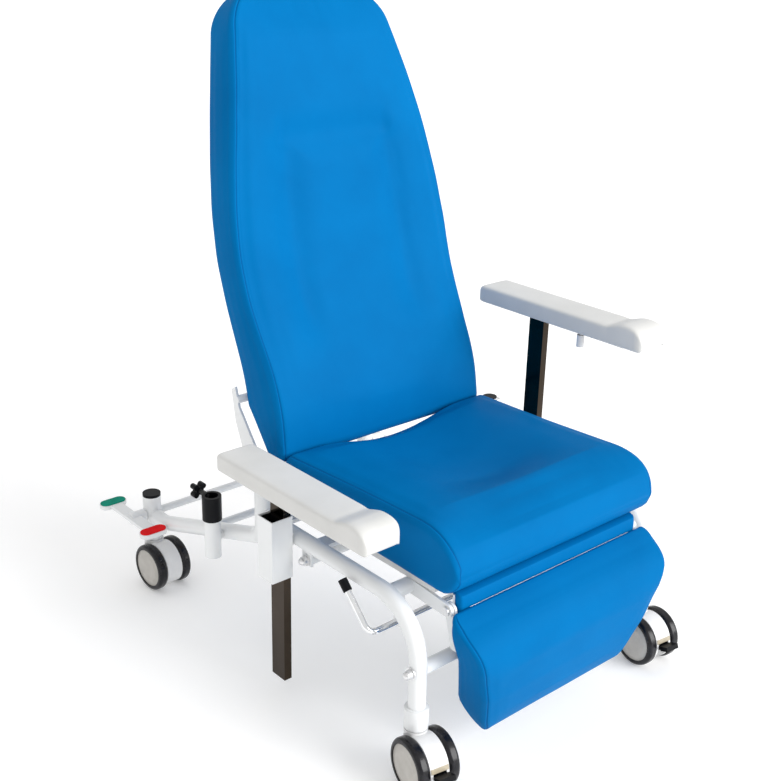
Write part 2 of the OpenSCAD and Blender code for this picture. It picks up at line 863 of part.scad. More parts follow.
// Pins of the back and legrest hinges, with the spacers of the back
spacer_d = 22;
back_plate_t = 5;
back_plate_gap = 5;
back_plate_x = seat_half_w + back_plate_gap;
arm_plate_gap = 3;
arm_plate_in = strip_half_w + arm_plate_gap;
pin_reach = 1.5;
spacer_t = 4;
pin_tail = 2;
pin_head_t = 4;
pin_head_share = 1.6;
arm_bar_t = 5;
module hinge_pins() {
    color("silver")
        for (side = [-1, 1])
            mirror([side > 0 ? 0 : 1, 0, 0]) {
                translate([0, riser_y, back_pivot_z]) {
                    bar_x(back_plate_x - pin_reach, riser_out_x + gap / 2, pivot_d);
                    bar_x(back_plate_x - spacer_t, back_plate_x - gap, spacer_d);
                    bar_x(back_plate_x + back_plate_t + gap, riser_in_x - gap / 2, spacer_d);
                    translate([riser_out_x + gap / 2, 0, 0]) dome_nut();
                }
                translate([0, leg_hinge_y, leg_hinge_z]) {
                    bar_x(arm_plate_in + gap, hinge_lug_x + hinge_lug_t + pin_tail, leg_pin_d);
                    bar_x(hinge_lug_x + hinge_lug_t + gap / 2, hinge_lug_x + hinge_lug_t + pin_head_t, leg_pin_d * pin_head_share);
                }
            }
}

// Pins of the gas springs' fixed ends
gas_pin_half = gas_eye_t / 2 + gap + gas_ear_t + pin_reach;
module gas_pins() {
    color("silver") {
        translate([-back_gas_x, back_base_y, back_base_z])
            bar_x(-gas_pin_half, gas_pin_half, gas_pin_d);
        translate([leg_gas_x, leg_gas_y, leg_gas_z])
            bar_x(-gas_pin_half, gas_pin_half, gas_pin_d);
    }
}

// Back frame: two side plates, a cross tube, two uprights and the bracket of the gas spring
back_u = [0, sin(back_lean), cos(back_lean)];
back_v = [0, cos(back_lean), -sin(back_lean)];
function back_point(u, v) = [riser_y + u * back_u[1] + v * back_v[1], back_pivot_z + u * back_u[2] + v * back_v[2]];
back_cross_d = 16;
back_cross_u = 137;
back_cross_v = back_rear_v + gap + back_cross_d / 2;
plate_hub_d = 36;
upright_w = 30;
upright_t = 6;
upright_from_u = 128;
upright_len = 520;
upright_x = 140;
back_pin_d = 6;
back_pin_dy = 45;
back_pin_dz = -5;
back_pin_y = riser_y + back_pin_dy;
back_pin_z = back_pivot_z + back_pin_dz;
// Outline of a side plate and of a spring bracket, along the back and behind its pivot
back_plate_outline = [[40, 96], [96, 104], [158, 98], [162, 84], [122, 84], [44, 52]];
bracket_head = [[6, 3], [-14, 12]];
bracket_foot = [[12, -12], [-6, -10], [-8, 5], [3, 9]];
bracket_throat = [[-12, -5]];
function from_cross(p) = back_point(back_cross_u + p[0], back_cross_v + p[1]);
module back_frame() {
    color("white")
        difference() {
            union() {
                for (side = [-1, 1])
                    across(side > 0 ? back_plate_x : -back_plate_x - back_plate_t, 0, 0)
                        linear_extrude(back_plate_t)
                            union() {
                                translate([riser_y, back_pivot_z])
                                    circle(d = plate_hub_d);
                                polygon(concat(
                                    [[riser_y, back_pivot_z + plate_hub_d / 2], [riser_y, back_pivot_z - plate_hub_d / 2]],
                                    [for (p = back_plate_outline) back_point(p[0], p[1])]));
                            }
                translate([0, back_point(back_cross_u, back_cross_v)[0], back_point(back_cross_u, back_cross_v)[1]])
                    bar_x(-back_plate_x - back_plate_t, back_plate_x + back_plate_t, back_cross_d);
                for (side = [-1, 1])
                    translate([side * (upright_x + upright_w / 2) - upright_w / 2, riser_y, back_pivot_z])
                        rotate([-back_lean, 0, 0])
                            translate([0, back_rear_v + gap, upright_from_u])
                                cube([upright_w, upright_t, upright_len]);
                translate([-upright_x - upright_w, riser_y, back_pivot_z])
                    rotate([-back_lean, 0, 0])
                        translate([0, back_rear_v + gap, upright_from_u + upright_len - upright_w])
                            cube([2 * (upright_x + upright_w), upright_t, upright_w]);
                for (side = [-1, 1])
                    across(-back_gas_x + (side > 0 ? gas_eye_t / 2 + gap : -gas_eye_t / 2 - gap - gas_ear_t), 0, 0)
                        linear_extrude(gas_ear_t)
                            polygon(concat(
                                [for (p = bracket_head) from_cross(p)],
                                [for (p = bracket_foot) [back_pin_y + p[0], back_pin_z + p[1]]],
                                [for (p = bracket_throat) from_cross(p)]));
                translate([0, back_pin_y, back_pin_z])
                    bar_x(-back_gas_x - gas_eye_t / 2 - gap - gas_ear_t, -back_gas_x + gas_eye_t / 2 + gap + gas_ear_t, back_pin_d);
            }
            for (side = [-1, 1])
                across(side > 0 ? back_plate_x - over : -back_plate_x - back_plate_t - over, riser_y, back_pivot_z)
                    cylinder(h = back_plate_t + 2 * over, d = pivot_d + 2 * fit);
        }
}

// Plywood panel that fills the back frame behind the cushion
panel_from_u = back_cross_u + back_cross_d / 2 + gap;
module back_panel() {
    color("burlywood")
        translate([-upright_x, riser_y, back_pivot_z])
            rotate([-back_lean, 0, 0])
                translate([gap, back_rear_v + gap, panel_from_u])
                    cube([2 * (upright_x - gap), upright_t, upright_from_u + upright_len - upright_w - gap - panel_from_u]);
}

// Backrest cushion: rings square to the leaning back, from its foot to its top
back_rings = 28;
back_points = 40;
back_foot_u = 22;
back_top_round = 70;
back_power = 0.36;
back_foot_round = 22;
back_heel_u = 44;
back_heel_v = 44;
back_heel_slope = 0.45;
// Half width at a share of the length, as a share of the greatest half width
back_width_shares = [[0, 0.995], [0.1, 0.985], [0.2, 0.985], [0.35, 1.01], [0.45, 1.015], [0.55, 0.985],
    [0.65, 0.93], [0.75, 0.86], [0.85, 0.785], [0.92, 0.73], [1, 0.67]];
// Front face at a share of the length, as a share of the lumbar thickness in front of the rear face
back_front_shares = [[0, 0.88], [0.06, 0.965], [0.1, 1.0], [0.155, 0.985], [0.22, 0.9], [0.285, 0.79],
    [0.35, 0.7], [0.42, 0.68], [0.5, 0.69], [0.6, 0.735], [0.7, 0.78], [0.8, 0.77], [0.9, 0.715], [1, 0.62]];
// The channel runs up both sides of the middle panel and across its top
channel_x_share = 0.5;
channel_top_share = 0.68;
channel_low_share = 0.3;
channel_half_w = 32;
function channel_side(x, half_w) = exp(-pow((abs(x) - half_w * channel_x_share) / channel_half_w, 2));
function back_ring(s) = let (
    span = back_len - back_foot_u,
    u = back_foot_u + s * span,
    from_top = (1 - s) * span + tip,
    from_foot = s * span + tip,
    top_share = round_share(from_top, back_top_round, 2.2),
    foot_share = round_share(from_foot, back_foot_round, 2),
    half_w = back_half_w * between(back_width_shares, s) * (1 - 0.34 * (1 - round_share(from_top, back_top_round, 2)))
        * (0.965 + 0.035 * foot_share),
    front = back_rear_v - lumbar_t * between(back_front_shares, s),
    // the lower rear edge is cut away above the hinge
    rear = min(back_rear_v, back_heel_v + (u - back_heel_u) * back_heel_slope),
    mid = (front + rear) / 2,
    half_t = (rear - front) / 2 * (0.3 + 0.7 * min(top_share, 0.25 + 0.75 * foot_share)),
    up = s / channel_top_share)
    [for (j = [0:back_points - 1]) let (
        a = 360 * (j + 0.5) / back_points,
        x = half_w * soft(cos(a), back_power),
        v = mid - half_t * soft(sin(a), back_power),
        side_groove = channel_side(x, half_w) * ease((up - channel_low_share) * 6) * ease((1.03 - up) * 14),
        top_groove = exp(-pow((u - back_foot_u - channel_top_share * span) / channel_half_w, 2))
            * ease((half_w * channel_x_share - abs(x)) / channel_half_w + 1),
        groove = sin(a) > 0 ? channel_depth * max(side_groove, top_groove) : 0,
        p = back_point(u, v + groove))
        [-x, p[0], p[1]]];

module back_cushion() {
    color([0.0, 0.5, 0.8])
        loft([for (s = end_shares(back_rings)) back_ring(s)]);
}

// Legrest frame: arms on the hinge, a plate behind the cushion, the strip's backing and the spring's crank
leg_back_y = -441.5;
leg_plate_t = 4;
leg_plate_foot = 228;
leg_plate_top = 280;
strip_drop = 6;
leg_arm_d = 26;
carrier_y = leg_hinge_y - 4;
carrier_t = 3;
crank_dy = 10;
crank_dz = -20;
crank_pin_d = 6;
crank_y = leg_hinge_y + crank_dy;
crank_z = leg_hinge_z + crank_dz;
module legrest_frame() {
    color("white")
        difference() {
            union() {
                for (side = [-1, 1])
                    across(side > 0 ? arm_plate_in : -arm_plate_in - arm_bar_t, 0, 0)
                        linear_extrude(arm_bar_t)
                            union() {
                                translate([leg_hinge_y, leg_hinge_z])
                                    circle(d = leg_arm_d);
                                polygon([
                                    [leg_hinge_y + leg_arm_d / 2, leg_hinge_z],
                                    [leg_hinge_y - leg_arm_d / 2, leg_hinge_z],
                                    [leg_back_y, leg_hinge_z - leg_arm_d / 2],
                                    [leg_back_y, leg_plate_foot],
                                    [leg_back_y + leg_arm_d / 2, leg_plate_foot],
                                ]);
                            }
                translate([-arm_plate_in - arm_bar_t, leg_back_y, leg_plate_foot])
                    cube([2 * (arm_plate_in + arm_bar_t), leg_plate_t, leg_plate_top - leg_plate_foot]);
                translate([-arm_plate_in, carrier_y, leg_hinge_z - strip_drop])
                    cube([2 * arm_plate_in, carrier_t, strip_h]);
                for (side = [-1, 1])
                    across(leg_gas_x + (side > 0 ? gas_eye_t / 2 + gap : -gas_eye_t / 2 - gap - gas_ear_t), 0, 0)
                        linear_extrude(gas_ear_t)
                            union() {
                                translate([crank_y, crank_z])
                                    circle(d = gas_eye_d * 0.8);
                                translate([leg_back_y + leg_plate_t / 2, crank_z - gas_eye_d * 0.4])
                                    square([crank_y - leg_back_y - leg_plate_t / 2, gas_eye_d * 0.8]);
                            }
                translate([0, crank_y, crank_z])
                    bar_x(leg_gas_x - gas_eye_t / 2 - gap - gas_ear_t, leg_gas_x + gas_eye_t / 2 + gap + gas_ear_t, crank_pin_d);
            }
            for (side = [-1, 1])
                across(side > 0 ? arm_plate_in - over : -arm_plate_in - arm_bar_t - over, leg_hinge_y, leg_hinge_z)
                    cylinder(h = arm_bar_t + 2 * over, d = leg_pin_d + 2 * fit);
        }
}

// Legrest cushion: rings from its foot to its top, narrower at the foot, which is cut slanting underneath
leg_rings = 26;
leg_points = 36;
leg_power = 0.3;
leg_slant_room = 14;
leg_slant_z = leg_plate_foot - leg_slant_room;
leg_heel_z = 108;
leg_heel_y = -413;
leg_foot_slope = 0.8;
leg_tip_t = 8;
leg_foot_round = 26;
leg_top_round = 40;
// Front face at a share of the height, as a share of the greatest thickness in front of the plate
leg_front_shares = [[0, 0.25], [0.03, 0.39], [0.07, 0.48], [0.144, 0.57], [0.21, 0.64], [0.376, 0.82],
    [0.544, 0.92], [0.644, 0.99], [0.72, 1], [0.784, 0.96], [0.832, 0.86], [0.872, 0.71], [0.9, 0.57],
    [0.93, 0.43], [0.964, 0.28], [0.984, 0.17], [1, 0.07]];
// Rear face: flat against the plate, then slanting forwards to the heel and under the foot
function leg_rear_y(z) = z > leg_slant_z ? leg_back_y
    : z > leg_heel_z
    ? leg_back_y + (leg_heel_y - leg_back_y) * (leg_slant_z - z) / (leg_slant_z - leg_heel_z)
    : leg_heel_y - (leg_heel_z - z) * leg_foot_slope;
function leg_ring(s) = let (
    span = leg_top_z - leg_foot_z,
    z = leg_foot_z + s * span,
    top_share = round_share((1 - s) * span + tip, leg_top_round, 2),
    foot_share = round_share(s * span + tip, leg_foot_round, 2),
    half_w = (leg_foot_half_w + (leg_half_w - leg_foot_half_w) * pow(s, 0.85) - side_draw * sin(180 * s))
        * (0.93 + 0.07 * min(top_share, foot_share)),
    front = leg_back_y - leg_t * between(leg_front_shares, s),
    rear = max(leg_rear_y(z) - gap, front + leg_tip_t * (0.2 + 0.8 * min(top_share, foot_share))))
    [for (j = [0:leg_points - 1]) let (a = 360 * (j + 0.5) / leg_points)
        [-half_w * soft(cos(a), leg_power), (front + rear) / 2 - (rear - front) / 2 * soft(sin(a), leg_power), z]];

module legrest_cushion() {
    color([0.0, 0.5, 0.8])
        loft([for (s = end_shares(leg_rings)) leg_ring(s)]);
}

// Half-round padded strip between seat and legrest: rings across the chair
strip_rings = 8;
strip_points = 16;
function strip_ring(s) = let (
    x = strip_half_w * (2 * s - 1),
    to_end = (1 - abs(2 * s - 1)) * strip_half_w + tip,
    share = round_share(to_end, strip_t, 2),
    front = carrier_y - gap - strip_t * (0.35 + 0.65 * share))
    [for (j = [0:strip_points - 1]) let (a = 360 * (j + 0.5) / strip_points)
        [x, max(front, carrier_y - gap - strip_t * share * (0.5 + 0.5 * soft(sin(a), 0.6))),
            leg_hinge_z - strip_drop + strip_h / 2 + (strip_h / 2 - over) * (0.9 + 0.1 * share) * soft(cos(a), 0.7)]];

module infill_strip() {
    color([0.0, 0.5, 0.8])
        loft([for (s = end_shares(strip_rings)) strip_ring(s)]);
}

// Bent release lever: a shaft under the seat, a bend outside the frame and a rising handle
lever_bend_r = 16;
lever_inner_x = 28;
grip_d = 16;
grip_len = 22;
grip_end_t = 3;
module lever_rod() {
    color("silver")
        translate([0, seat_tube_y, lever_z]) {
            bar_x(-lever_x + lever_bend_r - lap, lever_inner_x, lever_d);
            rotate([lever_rise, 0, 0]) {
                translate([-lever_x + lever_bend_r, lever_bend_r, 0])
                    rotate([0, 0, 180])
                        rotate_extrude(angle = 90)
                            translate([lever_bend_r, 0])
                                circle(d = lever_d + swell);
                translate([-lever_x, lever_bend_r - lap, 0])
                    rotate([-90, 0, 0])
                        cylinder(h = lever_len - lever_bend_r + lap - grip_end_t, d = lever_d);
            }
        }
}

module lever_grip() {
    color([0.08, 0.08, 0.09])
        translate([0, seat_tube_y, lever_z])
            rotate([lever_rise, 0, 0])
                translate([-lever_x, lever_len, 0])
                    rotate([90, 0, 0])
                        difference() {
                            cylinder(h = grip_len, d = grip_d);
                            translate([0, 0, grip_end_t])
                                cylinder(h = grip_len, d = lever_d + 2 * fit);
                        }
}

// Pole holder: a tube welded to the lower rear tube by a stub
holder_floor = 3;
stub_d = 16;
holder_axis_z = bend_end_z - (holder_y - bend_end_y) * tan(rear_slope);
module pole_holder() {
    color("white")
        difference() {
            union() {
                translate([-holder_x, holder_y, holder_foot])
                    cylinder(h = holder_top - holder_foot, d = holder_d);
                translate([0, holder_y, holder_axis_z])
                    bar_x(-holder_x, -side_x, stub_d);
            }
            translate([-holder_x, holder_y, holder_foot + holder_floor])
                cylinder(h = holder_top, d = pole_bore_d);
            tube_room();
        }
}

// Bush over the holder's upper end, with the thread of the clamp screw
bush_skirt = 12;
screw_d = 8;
screw_drop = 6;
screw_z = holder_top + bush_h - screw_drop;
module pole_bush() {
    color([0.08, 0.08, 0.09])
        translate([-holder_x, holder_y, 0])
            difference() {
                translate([0, 0, holder_top - bush_skirt])
                    cylinder(h = bush_h + bush_skirt, d = bush_d);
                translate([0, 0, holder_top - bush_skirt - over])
                    cylinder(h = bush_skirt + over, d = holder_d + 2 * fit);
                translate([0, 0, holder_top - over])
                    cylinder(h = bush_h + 2 * over, d = pole_bore_d);
                translate([0, 0, screw_z])
                    rotate([-90, 0, 0])
                        cylinder(h = bush_d, d = screw_d + 2 * fit);
            }
}

screw_len = 33;
screw_back = 0.6;
screw_in_knob = 7;
thread_fit = 0.02;
module clamp_screw() {
    color([0.15, 0.15, 0.16])
        translate([-holder_x, holder_y + pole_bore_d / 2 + screw_back, screw_z])
            rotate([-90, 0, 0])
                cylinder(h = screw_len, d = screw_d);
}

// Star knob with four arms on the clamp screw
star_t = 14;
star_arm_d = 11;
star_web_w = 8.4;
star_boss_d = 16;
star_y = holder_y + pole_bore_d / 2 + screw_back + screw_len - screw_in_knob;
module star_knob() {
    color([0.08, 0.08, 0.09])
        translate([-holder_x, star_y, screw_z])
            rotate([-90, 0, 0])
                difference() {
                    union() {
                        cylinder(h = star_t, d = star_boss_d);
                        for (turn = [45:90:315])
                            rotate([0, 0, turn]) {
                                translate([star_d / 2 - star_arm_d / 2, 0, 0])
                                    cylinder(h = star_t, d = star_arm_d);
                                translate([0, -star_web_w / 2, 0])
                                    cube([star_d / 2 - star_arm_d / 2, star_web_w, star_t]);
                            }
                    }
                    translate([0, 0, -over])
                        cylinder(h = screw_in_knob + over, d = screw_d + thread_fit);
                }
}

// Central lock: the shaft through both columns, with a hub and rocker at each end
hub_gap = 0.5;
hub_len = 32;
hub_wall = 4;
hub_in_x = side_x + column_d / 2 + hub_gap;
hub_out_x = hub_in_x + hub_len;
rocker_w = 26;
rocker_t = 7;
pedal_out = 28;
pedal_x = hub_in_x + pedal_out;
pedal_t = 9;
pedal_lift = 6;
pedal_z = lock_z + pedal_lift;
insert_t = 2;
insert_margin = 4;
module lock_shaft() {
    color("white")
        translate([0, column_y, lock_z])
            bar_x(-hub_out_x + hub_wall, hub_out_x - hub_wall, lock_d);
}

module stadium(length, width) {
    translate([-length / 2 + width / 2, 0])
        circle(d = width);
    translate([length / 2 - width / 2, 0])
        circle(d = width);
    square([length - width, width], center = true);
}

module pedal_bodies() {
    color("white")
        for (side = [-1, 1])
            mirror([side > 0 ? 0 : 1, 0, 0])
                difference() {
                    union() {
                        translate([0, column_y, lock_z])
                            bar_x(hub_in_x, hub_out_x, hub_d);
                        translate([pedal_x - rocker_w / 2, column_y - pedal_reach, pedal_z - rocker_t])
                            cube([rocker_w, 2 * pedal_reach, rocker_t]);
                        for (way = [-1, 1])
                            translate([pedal_x, column_y + way * pedal_reach, pedal_z - pedal_t])
                                linear_extrude(pedal_t)
                                    stadium(pedal_len, pedal_w);
                    }
                    translate([0, column_y, lock_z])
                        bar_x(hub_in_x - over, hub_out_x - hub_wall + fit, lock_d + 2 * fit);
                }
}

module pad_insert(side, way) {
    translate([side * pedal_x, column_y + way * pedal_reach, pedal_z])
        linear_extrude(insert_t)
            stadium(pedal_len - insert_margin, pedal_w - insert_margin);
}

module green_pads() {
    color([0.0, 0.5, 0.35])
        for (side = [-1, 1])
            pad_insert(side, 1);
}

module red_pads() {
    color([0.85, 0.1, 0.12])
        for (side = [-1, 1])
            pad_insert(side, -1);
}

// Casters
flange_t = 3;
neck_top = socket_foot - flange_t - gap;
swivel_foot = 74;
flange_d = 36;
swivel_end_gap = 2;
wheel_room = 2;
module at_casters() {
    for (side = [-1, 1])
        for (y = [leg_y, column_y])
            translate([side * side_x, y, 0])
                children();
}

module caster_stems() {
    color("lightgray")
        at_casters()
            union() {
                translate([0, 0, swivel_foot])
                    cylinder(h = socket_foot - swivel_foot, d = swivel_d);
                translate([0, 0, socket_foot - flange_t])
                    cylinder(h = flange_t - gap / 2, d = flange_d);
                translate([0, 0, socket_foot - flange_t])
                    cylinder(h = stem_bore_depth + flange_t - over, d = stem_bore_d - 2 * fit);
            }
}

// Sets its children at a caster, turned about its stem: 0 front right, 1 front left, 2 rear right, 3 rear left
module at_caster(which) {
    translate([which % 2 == 0 ? -side_x : side_x, which < 2 ? leg_y : column_y, 0])
        rotate([0, 0, caster_turns[which]])
            children();
}

brake_slot_w = 26;
// Distance of the slot's rear wall in front of the axle, and height of its ceiling
brake_slot_back = 10;
brake_slot_top = 58;
tongue_rise = 20;
brake_pivot_in = 20;
brake_pivot_y = -trail - brake_pivot_in;
brake_pivot_z = 40;
brake_pin_d = 6;
brake_side_gap = 0.5;
brake_boss_d = 15.6;
tongue_lift = 1;
tongue_end_len = 18;
module housing(which) {
    at_caster(which)
        difference() {
            union() {
                translate([0, 0, wheel_r])
                    cylinder(h = neck_top - wheel_r, d = neck_d);
                translate([0, -trail, wheel_r])
                    bar_x(-housing_w / 2, housing_w / 2, housing_r * 2);
            }
            // the neck keeps clear of the wheels
            for (way = [-1, 1])
                translate([way * (housing_w / 2 + neck_d / 2), -trail, wheel_r])
                    bar_x(-neck_d / 2, neck_d / 2, wheel_d + 2 * wheel_room);
            translate([0, 0, swivel_foot - swivel_end_gap])
                cylinder(h = neck_top, d = swivel_d + 2 * fit);
            translate([0, -trail, wheel_r])
                bar_x(-housing_w, housing_w, axle_d + 2 * fit);
            // open front of the housing, where the brake sits
            if (which < 2)
                translate([-brake_slot_w / 2, -trail - housing_r - over, -over])
                    cube([brake_slot_w, housing_r + over - brake_slot_back, brake_slot_top + over]);
            if (which < 2)
                translate([0, brake_pivot_y, brake_pivot_z])
                    bar_x(-housing_w, housing_w, brake_pin_d + 2 * fit);
        }
}

module housing_front_right() {
    color("white") housing(0);
}

module housing_front_left() {
    color("white") housing(1);
}

module housing_rear_right() {
    color("white") housing(2);
}

module housing_rear_left() {
    color("white") housing(3);
}

tyre_t = 10;
hub_dome = 3;
disc_in = 3;
disc_out = 2;
dome_rim = 3;
dome_fall = 22;
// Two wheel discs on one axle
module hubs(which) {
    at_caster(which)
        translate([0, -trail, wheel_r]) {
            bar_x(-wheel_x - wheel_t / 2, wheel_x + wheel_t / 2, axle_d);
            for (way = [-1, 1])
                mirror([way > 0 ? 0 : 1, 0, 0]) {
                    bar_x(wheel_x - wheel_t / 2 + disc_in, wheel_x + wheel_t / 2 - disc_out, wheel_d - 2 * tyre_t);
                    bar_x(housing_w / 2 + gap, wheel_x, axle_d * 2);
                    // domed cover of the disc
                    translate([wheel_x + wheel_t / 2 - disc_out, 0, 0])
                        rotate([0, 90, 0])
                            cylinder(h = hub_dome, d1 = wheel_d - 2 * tyre_t - dome_rim, d2 = wheel_d - 2 * tyre_t - dome_fall);
                }
        }
}

module hubs_front_right() {
    color("gainsboro") hubs(0);
}

module hubs_front_left() {
    color("gainsboro") hubs(1);
}

module hubs_rear_right() {
    color("gainsboro") hubs(2);
}

module hubs_rear_left() {
    color("gainsboro") hubs(3);
}

// Two tyres with rounded treads
tread_round = 7;
module tyre_section() {
    difference() {
        union() {
            translate([wheel_r - tyre_t, -wheel_t / 2])
                square([tyre_t - tread_round, wheel_t]);
            translate([wheel_r - tread_round - over, -wheel_t / 2 + tread_round])
                square([tread_round + over, wheel_t - 2 * tread_round]);
            for (way = [-1, 1])
                translate([wheel_r - tread_round, way * (wheel_t / 2 - tread_round)])
                    circle(r = tread_round);
        }
        translate([0, -wheel_t])
            square([wheel_r - tyre_t + gap, 2 * wheel_t]);
    }
}

module tyres(which) {
    at_caster(which)
        for (way = [-1, 1])
            translate([way * wheel_x, -trail, wheel_r])
                rotate([0, 90, 0])
                    rotate_extrude($fn = 96)
                        tyre_section();
}

module tyres_front_right() {
    color([0.07, 0.07, 0.08]) tyres(0);
}

module tyres_front_left() {
    color([0.07, 0.07, 0.08]) tyres(1);
}

module tyres_rear_right() {
    color([0.07, 0.07, 0.08]) tyres(2);
}

module tyres_rear_left() {
    color([0.07, 0.07, 0.08]) tyres(3);
}

// Brake pedal of a front caster: a block between the wheels and a tongue beyond them
tongue_len = 52;
tongue_t = 8;
tongue_w = 30;
module brake_pedal(which) {
    at_caster(which)
        translate([0, brake_pivot_y, brake_pivot_z])
            union() {
                bar_x(-housing_w / 2 + brake_side_gap, housing_w / 2 - brake_side_gap, brake_pin_d);
                bar_x(-brake_slot_w / 2 + brake_side_gap, brake_slot_w / 2 - brake_side_gap, brake_boss_d);
                rotate([-tongue_rise, 0, 0])
                    translate([-brake_slot_w / 2 + over, -tongue_len + over, -tongue_t / 2 + tongue_lift])
                        cube([brake_slot_w - 2 * over, tongue_len - 2 * over, tongue_t]);
                rotate([-tongue_rise, 0, 0])
                    translate([-tongue_w / 2, -tongue_len, -tongue_t / 2 + tongue_lift / 2])
                        cube([tongue_w, tongue_end_len, tongue_t + tongue_lift]);
            }
}

module brake_pedal_right() {
    color([0.08, 0.08, 0.09]) brake_pedal(0);
}

module brake_pedal_left() {
    color([0.08, 0.08, 0.09]) brake_pedal(1);
}

// Gas springs, along +X from the cylinder's eye at the origin
leg_gas_y = -164;
leg_gas_z = 262;
function dist(y, z) = sqrt(y * y + z * z);
back_gas_len = dist(back_pin_y - back_base_y, back_pin_z - back_base_z);
back_gas_angle = atan2(back_pin_z - back_base_z, back_pin_y - back_base_y);
leg_gas_len = dist(crank_y - leg_gas_y, crank_z - leg_gas_z);
leg_gas_angle = atan2(crank_z - leg_gas_z, crank_y - leg_gas_y);
gas_body_from = 12;
gas_neck_d = gas_eye_t - gap;
gas_foot_d = gas_eye_d - 2 * gap;
rod_stop_t = 3;
rod_eye_wall = 2.5;
module gas_cylinder(body_len) {
    difference() {
        union() {
            translate([0, 0, -gas_eye_t / 2])
                cylinder(h = gas_eye_t, d = gas_foot_d);
            bar_x(0, gas_body_from + over, gas_neck_d);
            bar_x(gas_body_from, gas_body_from + body_len, gas_d);
        }
        translate([0, 0, -gas_eye_t])
            cylinder(h = 2 * gas_eye_t, d = gas_pin_d + 2 * fit);
        bar_x(gas_body_from + rod_stop_t, gas_body_from + body_len + over, gas_rod_d + 2 * fit);
    }
}

module gas_rod(len, from, eye_bore) {
    difference() {
        union() {
            bar_x(from, len - eye_bore / 2, gas_rod_d);
            translate([len, 0, -gas_eye_t / 2])
                cylinder(h = gas_eye_t, d = eye_bore + 2 * rod_eye_wall);
        }
        translate([len, 0, -gas_eye_t])
            cylinder(h = 2 * gas_eye_t, d = eye_bore);
    }
}

module at_back_gas() {
    translate([-back_gas_x, back_base_y, back_base_z])
        rotate([back_gas_angle - 180, 0, 0])
            rotate([0, 0, -90])
                rotate([180, 0, 0]) rotate([90, 0, 0])
                    children();
}

module at_leg_gas() {
    translate([leg_gas_x, leg_gas_y, leg_gas_z])
        rotate([leg_gas_angle, 0, 0])
            rotate([0, 0, 90])
                rotate([90, 0, 0])
                    children();
}

back_eye_bore = 15.4;
leg_eye_bore = 15.8;
back_body_len = 105;
leg_body_len = 150;
back_rod_from = 50;
leg_rod_from = 60;
module back_gas_cylinder() {
    color([0.15, 0.15, 0.16])
        at_back_gas() gas_cylinder(back_body_len);
}

module back_gas_rod() {
    color("silver")
        at_back_gas() gas_rod(back_gas_len, back_rod_from, back_eye_bore);
}

module leg_gas_cylinder() {
    color([0.15, 0.15, 0.16])
        at_leg_gas() gas_cylinder(leg_body_len);
}

module leg_gas_rod() {
    color("silver")
        at_leg_gas() gas_rod(leg_gas_len, leg_rod_from, leg_eye_bore);
}

side_frame_right();
side_frame_left();
low_cross_tube();
mid_cross_bar();
seat_tube_front();
rear_cross_tube();
frame_bolts();
column_caps();
riser_plugs();
sleeves();
sleeve_guides();
post_right();
post_left();
arm_plate_right();
arm_plate_left();
arm_pad_right();
arm_pad_left();
release_knob_right();
release_knob_left();
seat_board();
seat_cushion();
hinge_pins();
gas_pins();
back_frame();
back_panel();
back_cushion();
legrest_frame();
legrest_cushion();
infill_strip();
lever_rod();
lever_grip();
pole_holder();
pole_bush();
clamp_screw();
star_knob();
lock_shaft();
pedal_bodies();
green_pads();
red_pads();
caster_stems();
housing_front_right();
housing_front_left();
housing_rear_right();
housing_rear_left();
hubs_front_right();
hubs_front_left();
hubs_rear_right();
hubs_rear_left();
tyres_front_right();
tyres_front_left();
tyres_rear_right();
tyres_rear_left();
brake_pedal_right();
brake_pedal_left();
back_gas_cylinder();
back_gas_rod();
leg_gas_cylinder();
leg_gas_rod();
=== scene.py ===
"""Rest armchair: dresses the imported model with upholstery, moulded pads, weld beads and finishes.

The chair faces -Y, +X is the sitter's left, the floor is Z = 0. Lengths are in metres.
"""
import json
import math

import bmesh
import bpy
import numpy as np
from mathutils import Matrix, Vector


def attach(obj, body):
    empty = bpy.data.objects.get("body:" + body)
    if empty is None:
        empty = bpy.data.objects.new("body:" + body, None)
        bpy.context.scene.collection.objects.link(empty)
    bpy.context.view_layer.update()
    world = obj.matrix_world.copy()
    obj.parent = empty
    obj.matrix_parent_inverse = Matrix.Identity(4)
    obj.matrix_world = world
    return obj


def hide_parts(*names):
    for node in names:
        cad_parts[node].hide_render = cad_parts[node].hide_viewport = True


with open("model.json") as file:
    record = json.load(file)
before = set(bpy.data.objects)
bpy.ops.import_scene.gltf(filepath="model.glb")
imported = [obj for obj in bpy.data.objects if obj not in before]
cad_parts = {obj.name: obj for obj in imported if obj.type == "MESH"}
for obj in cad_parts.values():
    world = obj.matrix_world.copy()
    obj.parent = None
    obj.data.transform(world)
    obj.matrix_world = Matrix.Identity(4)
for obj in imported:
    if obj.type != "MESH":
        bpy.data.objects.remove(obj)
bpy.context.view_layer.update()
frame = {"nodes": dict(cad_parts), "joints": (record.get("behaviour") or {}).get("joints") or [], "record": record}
NODES = frame["nodes"]
JOINTS = {joint["name"]: joint for joint in frame["joints"]}

# Places that the frame's joints give, in metres
BACK_PIVOT = np.array(JOINTS["back_recline"]["pos_m"])
LEG_HINGE = np.array(JOINTS["legrest_lift"]["pos_m"])
SIDE_X = JOINTS["swivel_front_left"]["pos_m"][0]
LEFT_RAISE = -JOINTS["arm_left_height"]["range_m"][0]

# Sizes and slopes of the frame that the dressing follows, in metres and radians
TUBE_R, REAR_TUBE_R = 0.015, 0.0155
RUN_Z, RISER_Y = 0.317, 0.011
REAR_SLOPE, BACK_LEAN = math.radians(18.6), math.radians(15.9)


# Meshes
# A direction that no path starts along, and a length too small to matter
OFF_AXIS = [0.31, 0.42, 0.85]
TINY = 1e-12


